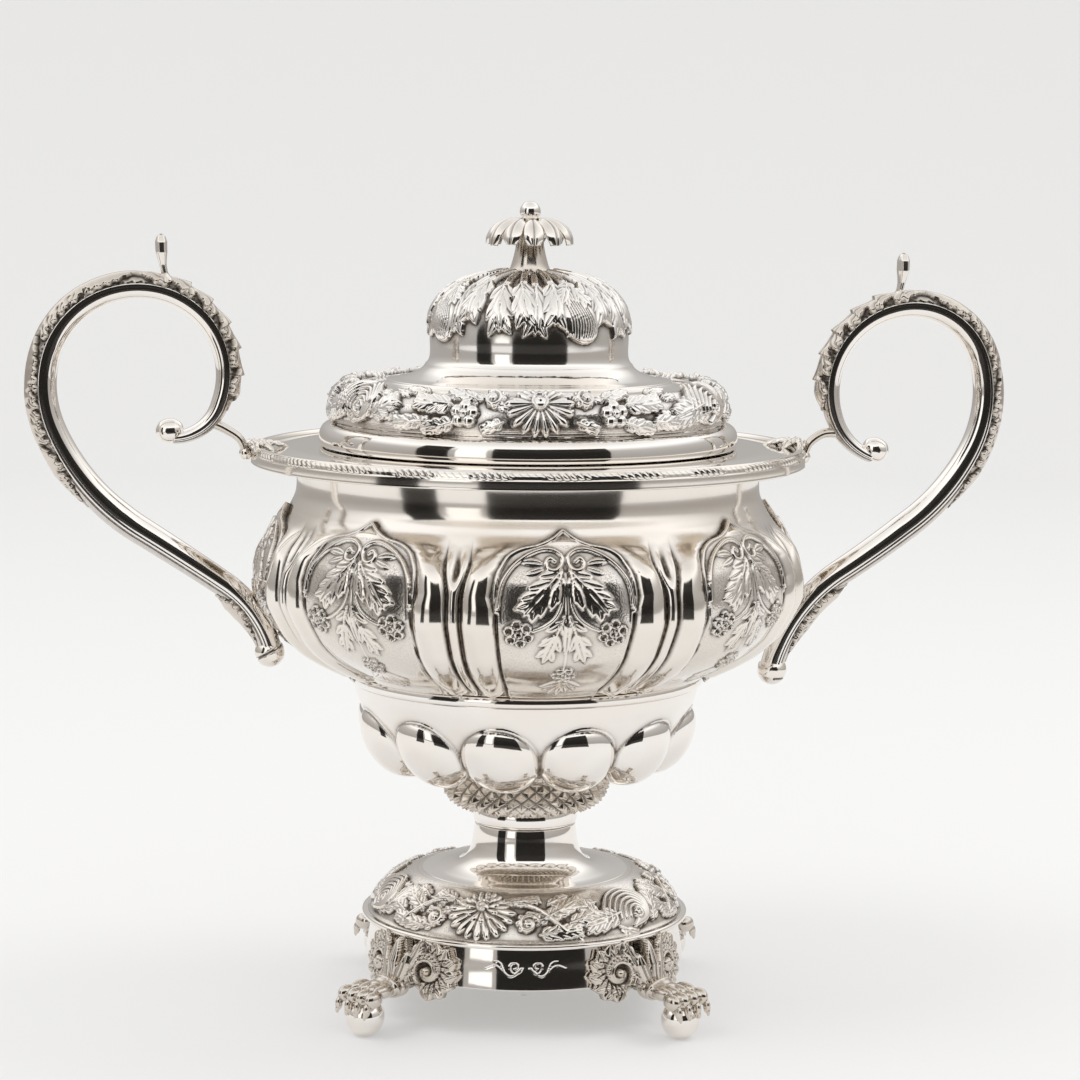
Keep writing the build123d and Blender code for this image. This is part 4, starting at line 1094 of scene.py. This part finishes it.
for name, handle in HANDLES.items():
    out = handle["out"]
    points, normals = handle_run(handle, 0, 6, 0.6)
    run = np.r_[0, np.cumsum(np.linalg.norm(np.diff(points, axis=0), axis=1))]
    half_across, half_along, inwards = tube_size(handle, 0, run)
    b3 = np.tile(np.array([[0.0, out, 0.0]]), (len(points), 1))
    n3 = in_plane(normals, out)
    p3 = in_plane(points, out) + n3 * inwards[:, None]
    settle(swept(f"handle_tube_{name}_oval", p3, n3, b3, half_across, half_along, POLISHED,
                 ridge=tube_ribs, sides=96, patina=bead_tarnish_and_leaf_shade), f"handle_tube_{name}")
    settle(leafage(f"handle_leafage_{name}_cast", handle, 1, 4, 0.6, True, 4.6, CAST),
           f"handle_leafage_{name}")
    settle(leafage(f"handle_foot_leaf_{name}_cast", handle, 6, 6, 0.9, False, 4.2, CAST),
           f"handle_foot_leaf_{name}")

    # Bulb in the scroll
    start = np.array(handle["start"])
    away = in_plane(start - points[4], out)
    bulb_line = smooth([(0.05, -4.0), (1.9, -3.5), (3.3, -1.6), (3.5, 0.4), (2.9, 2.4), (1.3, 3.6),
                        (0.05, 3.9)], 48)
    bulb = turned(f"handle_ball_{name}_bulb", bulb_line, [(0.02, 3.4), (0.02, -3.4)], 96, POLISHED,
                  wobble=0.04)
    oriented(bulb, in_plane(start + (1.4, 1.0), out), away)
    settle(bulb, f"handle_ball_{name}")

    # Rolled end against the belly: a bulb with a scroll line round it
    end = points[-1]
    end_dir = in_plane(points[-1] - points[-6], out)
    roll_line = smooth([(0.05, -3.9), (2.6, -3.4), (4.1, -1.4), (4.2, 0.4), (3.6, 2.4), (1.9, 3.9),
                        (0.05, 4.3)], 60)
    rolled = Relief(FULL, line_length(roll_line), 128, 60)
    rolled.stroke([(0, 3.0), (FULL * 0.5, 6.0), (FULL, 9.0)], 0.9, -0.5)
    roll = turned(f"handle_end_{name}_rolled", roll_line, [(0.02, 3.6), (0.02, -3.4)], 128, CHASED, rolled,
                  patina=np.clip(-rolled.h * 2, 0, 1))
    oriented(roll, in_plane(end, out), end_dir)
    settle(roll, f"handle_end_{name}")

    # Bent strut down to a bead at the border
    strut_x, strut_z = handle["strut"]
    bead_z = handle["bead_z"]
    line = smooth([(strut_x + 4.2, strut_z - 1.6), (strut_x + 1.2, strut_z - 1.0),
                   (BEAD_X + 5.2, bead_z + 6.6),
                   (BEAD_X + 1.6, bead_z + 4.0), (BEAD_X, bead_z + 0.4)], 60)
    step = np.gradient(line, axis=0)
    step /= np.linalg.norm(step, axis=1)[:, None]
    thick = 1.7 - 0.6 * np.linspace(0, 1, 60) ** 0.7
    wire = swept(f"strut_wire_{name}", in_plane(line, out),
                 in_plane(np.stack([-step[:, 1], step[:, 0]], axis=1), out),
                 np.tile([[0.0, out, 0.0]], (60, 1)), thick * 1.3, thick, CAST, sides=32)
    bead_line = smooth([(0.05, -1.9), (1.3, -1.5), (1.9, 0), (1.5, 1.3), (0.9, 1.8), (0.05, 2.0)], 30)
    bead = turned(f"strut_bead_{name}", bead_line, [(0.02, 1.5), (0.02, -1.5)], 64, CHASED, wobble=0.03)
    oriented(bead, in_plane((BEAD_X, bead_z), out), (0, 0, 1))
    settle(joined(f"handle_strut_{name}_bent", [wire, bead]), f"handle_strut_{name}")

    # Thumb piece: an upright bud with a rounded bright tip, grooved down its middle
    thumb_x, thumb_z = handle["thumb"]
    rows = 48
    t = np.linspace(0, 1, rows)
    spine = np.stack([out * (thumb_x - 1.6 * (1 - t) ** 3), 0 * t, thumb_z - 1.6 + 12.8 * t], axis=1)
    wide = np.interp(t, [0, 0.16, 0.34, 0.62, 0.84, 0.95, 1.0], [2.7, 1.7, 2.1, 3.4, 2.9, 1.8, 0.3])
    deep = np.interp(t, [0, 0.16, 0.34, 0.62, 0.84, 0.95, 1.0], [2.1, 1.0, 1.1, 1.75, 1.8, 1.3, 0.3])

    def bud(phi):
        return -0.16 * np.exp(-((np.abs(np.cos(phi)) - 1) / 0.03) ** 2) + 0.05 * np.cos(6 * phi)

    settle(tarnish_hollows(swept(f"thumb_piece_{name}_bud", spine, np.tile([[1.0, 0.0, 0.0]], (rows, 1)),
                                 np.tile([[0.0, 1.0, 0.0]], (rows, 1)), wide, deep, CHASED, ridge=bud,
                                 sides=64), 1.2),
           f"thumb_piece_{name}")

    # Leaf over the border: a long middle leaflet and two shorter ones on either side
    leaflets = []
    for spread, reach, half in ((0, 11.5, 3.3), (-46, 9.0, 2.4), (46, 9.0, 2.4), (-84, 8.6, 2.0),
                                (84, 8.6, 2.0)):
        a = radians(spread)
        direction = np.array([-out * cos(a), sin(a), 0.0])
        t = np.linspace(0, 1, 40)[:, None]
        arch = np.array([0, 0, 1.0]) * (2.3 * np.sin(pi * (0.15 + 0.8 * t)) - 0.3)
        spine = np.array([out * 79.0, 0, 160.4]) + direction * reach * t + arch
        across = np.tile([[-direction[1], direction[0], 0.0]], (40, 1))
        leaflets.append(blade(f"rim_leaflet_{name}", spine, across, np.tile([[0.0, 0.0, 1.0]], (40, 1)),
                              [half * 0.5, half, half * 0.95, half * 0.7, 0.15], 0.9, 0.5, CHASED, 17, 5,
                              0.4))
    settle(joined(f"rim_leaf_{name}_cast", leaflets), f"rim_leaf_{name}")


# ---------------------------------------------------------------- rim

flange_line = smooth([(75.8, 160.5), (72.0, 160.9), (68.4, 161.25), (64.0, 161.3), (57.4, 161.3)], 60)
settle(turned("rim_flange_polished", flange_line, [(57.4, 160.1), (68.4, 160.1), (75.8, 159.3)], 512,
              POLISHED, wobble=0.02), "rim_flange")

GADROONS = 245
BORDER_COLUMNS, BORDER_ROWS = GADROONS * 8, 44
border_line = even(smooth([(77.6, 156.5), (78.9, 156.5), (79.0, 157.2), (79.0, 159.0), (78.8, 159.4),
                           (78.95, 160.0),
                           (78.6, 160.9), (77.6, 161.6), (76.4, 161.5), (75.7, 160.6)], 400), BORDER_ROWS)
border = Relief(FULL, line_length(border_line), BORDER_COLUMNS, BORDER_ROWS)
gadroon = np.arange(BORDER_COLUMNS)[None, :] / BORDER_COLUMNS * GADROONS
up_border = np.arange(BORDER_ROWS)[:, None] * border.dy
twist = np.abs(np.sin(pi * (gadroon + up_border * 0.42)))
on_top = np.clip((up_border - 4.3) / 0.4, 0, 1) * np.clip((6.6 - up_border) / 0.6, 0, 1)
# The gadroons are worn and uneven: they come and go in waves round the border
round_border = 2 * pi * gadroon / GADROONS
uneven = np.clip(0.45 + np.cos(round_border * 24) * (0.7 + 0.3 * np.cos(round_border * 7 + 1)), 0.05, 1)
border.h = on_top * (0.6 * twist**0.7 * uneven - 0.25)
settle(turned("rim_border_gadrooned", border_line, [(75.7, 159.4), (77.6, 158.6)], BORDER_COLUMNS, CHASED,
              border,
              patina=on_top * np.clip(1.1 - twist * 2.2, 0, 1) * (0.4 + uneven)), "rim_border")


# ---------------------------------------------------------------- lid

settle(turned("lid_bezel_turned", smooth([(56.2, 154.6), (56.4, 158), (56.4, 161.4)], 20),
              [(55.0, 161.4), (55.0, 154.6)], 256, POLISHED, wobble=0.02), "lid_bezel", "lid_carriage")
wall_line = smooth([(58.9, 161.5), (59.5, 161.8), (59.8, 163.0), (59.6, 165.2), (58.9, 166.8), (57.8, 167.7),
                    (56.4, 168.1), (55.4, 168.3), (54.9, 168.9)], 70)
settle(turned("lid_wall_turned", wall_line, [(54.2, 166.4), (57.4, 164.8), (57.4, 161.5)], 512, POLISHED,
              wobble=0.03),
       "lid_wall", "lid")

BAND_MOTIFS = 3
BAND_COLUMNS, BAND_ROWS = 1320, 96
BAND_R = 56.0
BDEG = BAND_R * pi / 180
band_line = smooth([(54.8, 168.2), (55.7, 169.0), (56.3, 170.6), (56.3, 173.4), (55.1, 176.6), (52.8, 179.0),
                    (50.6, 179.8),
                    (48.2, 179.2)], BAND_ROWS)
band_inside = smooth([(48.2, 178.0), (51.2, 178.2), (53.6, 175.8), (54.8, 172.6), (54.2, 169.8),
                      (53.2, 168.2)], 14)
band = Relief(FULL * BDEG, line_length(band_line), BAND_COLUMNS, BAND_ROWS)
ground_leaves(band, 84, 3.0, 15.5, 6.0, 1.2)
for k in range(BAND_MOTIFS):
    middle = (-94.5 + k * FULL / BAND_MOTIFS) * BDEG
    band.at(middle)
    band.fan((0, 10.4), 1.8, 9.8, 172, 196, 10, 1.9, 0.22)
    band.fan((0, 10.0), 1.8, 8.0, 0, 180, 9, 1.7, 0.2)
    band.dome((0, 10.6), (3.0, 2.5), 2.2)
    band.ring((0, 10.6), 2.1, 0.8, 2.5)
    band.dome((0, 10.7), (1.1, 0.9), 2.7)
    for side in (-1, 1):
        band.at(middle, 0, side)
        scroll_leaf(band, 13.2, 11.4, 3.6, 60, 2.0)
        band.frond((9.8, 5.0), (16.4, 2.6), 3.2, 1.8, 3, 2.2, 32)
        for n in range(5):
            a = radians(72 * n + 20)
            band.dome((20.8 + 2.3 * cos(a), 7.0 + 2.2 * sin(a)), (2.1, 2.0), 2.1)
        band.dome((20.8, 7.0), (1.5, 1.4), 2.7)
        band.frond((18.0, 11.0), (27.0, 15.4), 4.2, 1.9, 4, 2.5, 32)
        band.frond((23.6, 4.6), (34.0, 2.2), 4.2, 1.9, 4, 2.5, 32)
        band.frond((24.4, 9.2), (37.0, 9.8), 5.4, 2.0, 4, 3.0, 30)
        band.frond((33.0, 4.6), (43.0, 3.6), 4.2, 1.9, 4, 2.5, 30)
        band.frond((33.0, 12.6), (42.0, 15.8), 4.0, 1.9, 3, 2.5, 30)
    band.at(middle + 0.5 * FULL / BAND_MOTIFS * BDEG)
    shell(band, -1.0, 9.6, 9.0, 2.3)
    band.frond((8.0, 4.6), (16.0, 10.6), 5.0, 2.1, 4, 2.8)
band.h = 0.8 * band.h + 0.2 * band.blurred(0.22)
band.matted = (band.h < 0.3) * 0.8
along_band = np.arange(BAND_ROWS)[:, None] * band.dy
band.h = (band.h - 0.5) * np.clip(along_band / 1.4, 0, 1) * np.clip((band.height - along_band) / 1.4, 0, 1)
# The band takes the lighter copy of the chased silver, which is painted light.
settle(turned("lid_band_chased", band_line, band_inside, BAND_COLUMNS, CHASED_LIT_COPY, band,
              patina=band.patina(0.35, 1.0, 1.1)), "lid_band", "lid")

shoulder_line = smooth([(48.3, 178.9), (45.6, 179.1), (42.2, 179.5), (41.0, 179.9), (40.7, 180.4),
                        (40.2, 180.5),
                        (36.4, 181.0), (32.6, 182.2), (30.4, 183.6), (29.4, 185.0)], 120)
settle(turned("lid_shoulder_spun", shoulder_line, smooth([(28.4, 184.2), (31, 181.8), (36, 179.8),
                                                          (41, 178.6),
                                                           (48.3, 177.8)], 16), 512, POLISHED, wobble=0.04),
       "lid_shoulder", "lid")

LEAVES = 13
DOME_COLUMNS, DOME_ROWS = 900, 170
DOME_R = 28.3
DDEG = DOME_R * pi / 180
dome_line = smooth([(29.6, 184.4), (28.5, 186.2), (28.2, 188.7), (28.3, 192.8), (27.7, 197.1), (25.8, 201.5),
                    (21.8, 205.6),
                    (15.6, 208.7), (9.6, 209.9), (5.0, 210.3)], DOME_ROWS)
dome_inside = smooth([(5.0, 209.0), (14, 207.6), (20.6, 204.4), (24.6, 200.4), (26.6, 195), (27, 190),
                      (28.2, 184.4)], 16)
dome = Relief(FULL * DDEG, line_length(dome_line), DOME_COLUMNS, DOME_ROWS)
top_s = dome.height - 1.0
# Two tiers of leaves hang from the top of the crown, the upper ones over the gaps of the lower
for tier, (low_tip, reach, rise) in enumerate(((9.6, 8.6, 1.0), (13.5, 7.6, 1.45))):
    for k in range(LEAVES):
        x = (-92 + (k + 0.5 * tier) * FULL / LEAVES) * DDEG
        tip = low_tip + rng.uniform(-2.2, 2.2)
        lean = rng.uniform(-5.0, 5.0)
        root = tip + 19.0 - 2.5 * tier
        dome.at(x)
        dome.stroke(smooth([(0.2, top_s), (0.3 * lean, root + 4), (0.5 * lean, root - 2)], 20), 4.6, 0.5,
                    (1.0, 0.7),
                    base=rise - 0.2)
        dome.frond((0.3 * lean, root), (lean, tip), reach + 1.6, rise + 0.3, 3, 4.1, 24)
        dome.frond((0.3 * lean, root - 3.5), (lean + 0.6, tip + 0.8), 0.8 * reach, rise + 0.5, 2, 3.4, 17)
# Four ribbed seed heads between the leaves
for k in range(4):
    dome.at((-68 + 90 * k) * DDEG, 0)
    dome.dome((0, 15.5), (6.0, 8.2), 1.9, turn=24, power=0.3)
    for n in range(9):
        bow = smooth([(-4.4 + 0.9 * n, 20.6 - 0.3 * n), (-2.8 + 0.9 * n, 15.4 - 0.3 * n),
                      (-2.4 + 0.7 * n, 9.6)], 16)
        dome.stroke(bow, 0.5, -0.4, (1.0, 0.3))
    dome.frond((-1.4, 27), (4.8, 17.6), 5.0, 2.2, 3, 2.6)
    dome.frond((0.4, 27), (-5.0, 18.4), 5.0, 2.1, 3, 2.6)
dome.h = 0.82 * dome.h + 0.18 * dome.blurred(0.2)
up_dome = np.arange(DOME_ROWS)[:, None] * dome.dy
dome.h *= np.clip((dome.height - up_dome) / 2.0, 0, 1)
# The dome takes the lighter copy of the chased silver, which is painted light.
settle(turned("lid_dome_chased", dome_line, dome_inside, DOME_COLUMNS, CHASED_LIT_COPY, dome, wobble=0.04), "lid_dome",
       "lid")


# ---------------------------------------------------------------- finial

stem_line = smooth([(0.05, 209.6), (6.4, 209.6), (6.6, 210.0), (5.6, 212.0), (4.9, 214.3), (4.2, 217.4),
                    (3.7, 221.0),
                    (3.4, 224.4), (0.05, 224.6)], 120)
settle(turned("finial_stem_turned", stem_line, [(0.02, 224.0), (0.02, 210.2)], 160, CAST, wobble=0.05,
              patina=np.full((len(stem_line), 160), 0.35)), "finial_stem", "lid")

PETALS = 11
petal_meshes = []
for k in range(PETALS):
    a = radians(-92 + k * FULL / PETALS)
    outward = np.array([cos(a), sin(a), 0.0])
    sideways = np.array([-sin(a), cos(a), 0.0])
    droop = 0.5 * sin(3.1 * k)
    line = smooth([(1.6, 225.4), (4.4, 225.5), (7.6, 224.9), (10.2, 223.2), (11.7, 220.8),
                   (12.0 + 0.3 * droop, 218.5 - droop)], 44)
    spine = outward[None] * line[:, 0:1] + np.array([[0, 0, 1.0]]) * line[:, 1:2]
    step = np.gradient(spine, axis=0)
    step /= np.linalg.norm(step, axis=1)[:, None]
    up = np.cross(step, np.tile(sideways, (44, 1)))
    up *= np.sign(up[:1, 2:3])
    petal_meshes.append(blade(f"petal_{k}", spine, np.tile(sideways, (44, 1)), up,
                              [0.9, 1.3, 1.7, 2.1, 2.5, 2.8, 2.95, 2.7, 1.7], 0.75, 0.35, CHASED, 25, 0, 0.32,
                              0.5))
eye_line = smooth([(0.05, 223.9), (3.6, 224.0), (4.0, 224.8), (3.2, 225.8), (2.0, 226.1), (0.05, 226.2)], 30)
petal_meshes.append(turned("flower_eye", eye_line, [(0.02, 225.8), (0.02, 224.2)], 96, CHASED, wobble=0.03))
settle(joined("finial_flower_petals", petal_meshes), "finial_flower", "lid")
ball_line = smooth([(0.05, 225.2), (1.4, 225.4), (2.6, 226.6), (2.95, 227.9), (2.6, 229.3), (1.5, 230.5),
                    (0.05, 230.8)], 48)
settle(turned("finial_ball_turned", ball_line, [(0.02, 230.3), (0.02, 225.6)], 96, POLISHED, wobble=0.03),
       "finial_ball",
       "lid")


# ---------------------------------------------------------------- feet

BRACKET_HALF, BRACKET_LOW, BRACKET_HIGH = 18.6, 9.4, 27.4
BR_COLUMNS, BR_ROWS = 188, 92
bracket = Relief(2 * BRACKET_HALF, BRACKET_HIGH - BRACKET_LOW, BR_COLUMNS, BR_ROWS)
mid = BRACKET_HALF
for side in (-1, 1):
    bracket.at(mid, 0, side)
    eye = (9.2, 8.2)
    bracket.dome(eye, (7.0, 7.2), 2.8, power=0.35)
    for n in range(8):
        a = radians(-120 + 27 * n)
        bracket.leaf((eye[0] + 4.4 * cos(a), eye[1] + 4.4 * sin(a)),
                     (eye[0] + 8.9 * cos(a + 0.62), eye[1] + 8.7 * sin(a + 0.62)), 4.2, 3.2, 0.22, 0, 0.55,
                     vein=0.4)
    for n in range(3):
        bracket.stroke(spiral(eye[0], eye[1], 6.4 - 1.15 * n, 1.6 - 0.4 * n, -150 + 12 * n, -1.1 - 0.1 * n,
                              60), 0.95, 0.7,
                       (1.0, 0.8), base=3.1 + 0.25 * n)
    for n in range(16):
        a = radians(-150 - 20 * n)
        inner_end = (eye[0] + 3.6 * cos(a), eye[1] + 3.6 * sin(a))
        outer_end = (eye[0] + 6.4 * cos(a - 0.3), eye[1] + 6.4 * sin(a - 0.3))
        bracket.stroke([inner_end, outer_end], 0.5, -0.5)
    bracket.dome(eye, (1.3, 1.3), 1.6, base=3.2)
    bracket.frond((0.9, 1.0), (7.4, 17.4), 4.6, 4.3, 4, 2.4, 24)
    bracket.leaf((0.8, 2.0), (3.8, 13.4), 2.8, 5.0, -0.1, 0, 0.6, vein=0.5)
bracket.at(mid)
bracket.leaf((0, 0.4), (0, 16.8), 3.4, 5.0, 0.0, 0, 0.6, vein=0.5)
for n in range(5):
    reach, rise = 4.6 - 0.5 * n, 1.1 * n
    bracket.stroke([(-reach, 1.0 + rise), (0, 0.3 + rise), (reach, 1.0 + rise)], 0.6, -0.35)
bracket_height = 0.82 * bracket.h + 0.18 * bracket.blurred(0.2)
bracket_dark = bracket.patina(0.35, 1.1, 1.6)
bracket_x = (np.arange(BR_COLUMNS) * bracket.dx - mid)[None, :]
bracket_z = BRACKET_LOW + np.arange(BR_ROWS)[:, None] * bracket.dy
# The middle of the bracket swells out over the paw
belly_out = 2.6 * np.exp(-((bracket_x / 5.2) ** 2)) * np.clip((27.6 - bracket_z) / 8.0, 0, 1) ** 0.8
keep = bracket_height > 0.4


def paw_mesh(name):
    """Four knuckled toes with claws, an ankle and a cuff, fused into one skin round +X."""
    balls = [((51.0, 0, 12.2), (3.8, 4.6, 3.2)), ((54.4, 0, 12.6), (3.8, 4.9, 2.8)),
             ((57.6, 0, 12.2), (3.6, 5.4, 2.5))]
    for toe in (-1.5, -0.5, 0.5, 1.5):
        y = 2.9 * toe
        balls += [((59.6, 1.05 * y, 12.8), (3.7, 1.6, 1.9)), ((64.0, 1.28 * y, 11.4), (2.9, 1.85, 2.4)),
                  ((66.7, 1.32 * y, 8.9), (1.2, 0.9, 1.9)), ((67.4, 1.3 * y, 7.4), (0.6, 0.5, 1.2))]
    pieces = []
    for centre, size in balls:
        bpy.ops.mesh.primitive_ico_sphere_add(subdivisions=4, radius=1.0)
        o = bpy.context.object
        sized = Matrix.Diagonal((*[s * MM for s in size], 1.0))
        o.data.transform(Matrix.Translation(Vector(centre) * MM) @ sized)
        pieces.append(o)
    for k in range(48):
        a = 2 * pi * k / 48
        bpy.ops.mesh.primitive_ico_sphere_add(subdivisions=2, radius=0.42 * MM)
        o = bpy.context.object
        o.data.transform(Matrix.Translation(Vector((54.0 + 1.2 * cos(a), 4.9 * sin(a),
                                                    12.5 + 3.1 * cos(a))) * MM))
        pieces.append(o)
    obj = joined(name, pieces)
    mod = obj.modifiers.new("fuse", "REMESH")
    mod.mode = "VOXEL"
    mod.voxel_size = 0.26 * MM
    soften = obj.modifiers.new("soften", "SMOOTH")
    soften.iterations = 2
    bpy.context.view_layer.update()
    mesh = bpy.data.meshes.new_from_object(obj.evaluated_get(bpy.context.evaluated_depsgraph_get()))
    bpy.data.objects.remove(obj)
    mesh.polygons.foreach_set("use_smooth", np.ones(len(mesh.polygons), bool))
    mesh.materials.clear()
    mesh.materials.append(CAST)
    return mesh


paw = paw_mesh("paw_shape")
FOOT_AZIMUTHS = (37, 127, 217, 307)
drum_r = PLINTH_FOOT_R - PLINTH_SLOPE * (bracket_z - PLINTH_LOW)
for k, azimuth in enumerate(FOOT_AZIMUTHS, 1):
    theta = radians(azimuth) + bracket_x / PLINTH_FOOT_R
    front_r = drum_r - 0.2 + bracket_height + belly_out
    back_r = drum_r - 0.1 + 0.4 * belly_out
    z = np.broadcast_to(bracket_z, front_r.shape)
    front = np.stack([front_r * np.cos(theta), front_r * np.sin(theta), z], axis=-1)
    back = np.stack([back_r * np.cos(theta), back_r * np.sin(theta), z], axis=-1)
    settle(cut_plate(f"foot_bracket_{k}_leaf", front, back, keep, CAST, bracket_dark), f"foot_bracket_{k}")
    mesh = paw.copy()
    mesh.transform(Matrix.Rotation(radians(azimuth), 4, "Z"))
    obj = bpy.data.objects.new(f"foot_paw_{k}_claw", mesh)
    bpy.context.scene.collection.objects.link(obj)
    settle(tarnish_hollows(obj, 1.0), f"foot_paw_{k}")
    low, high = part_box(f"foot_ball_{k}")
    middle_of = (low + high) / 2 / MM
    ball_line = smooth([(0.05, 0.0), (1.5, 0.0), (2.6, 0.45), (4.4, 2.1), (5.35, 4.7), (5.1, 7.4), (3.6, 9.5),
                        (1.6, 10.5),
                        (0.05, 10.6)], 60)
    # The ball grows darker towards its top, up to 0.7 of the tarnish colour: a painted reflection of the dark
    # paw above it.
    round_ball = turned(f"foot_ball_{k}_painted_reflection", ball_line, [(0.02, 10.0), (0.02, 0.4)], 96, POLISHED,
                        wobble=0.05,
                        patina=np.clip((ball_line[:, 1:2] - 4.5) / 6, 0, 0.7) * np.ones((1, 96)))
    oriented(round_ball, (middle_of[0], middle_of[1], 0.0), (0, 0, 1))
    settle(round_ball, f"foot_ball_{k}")
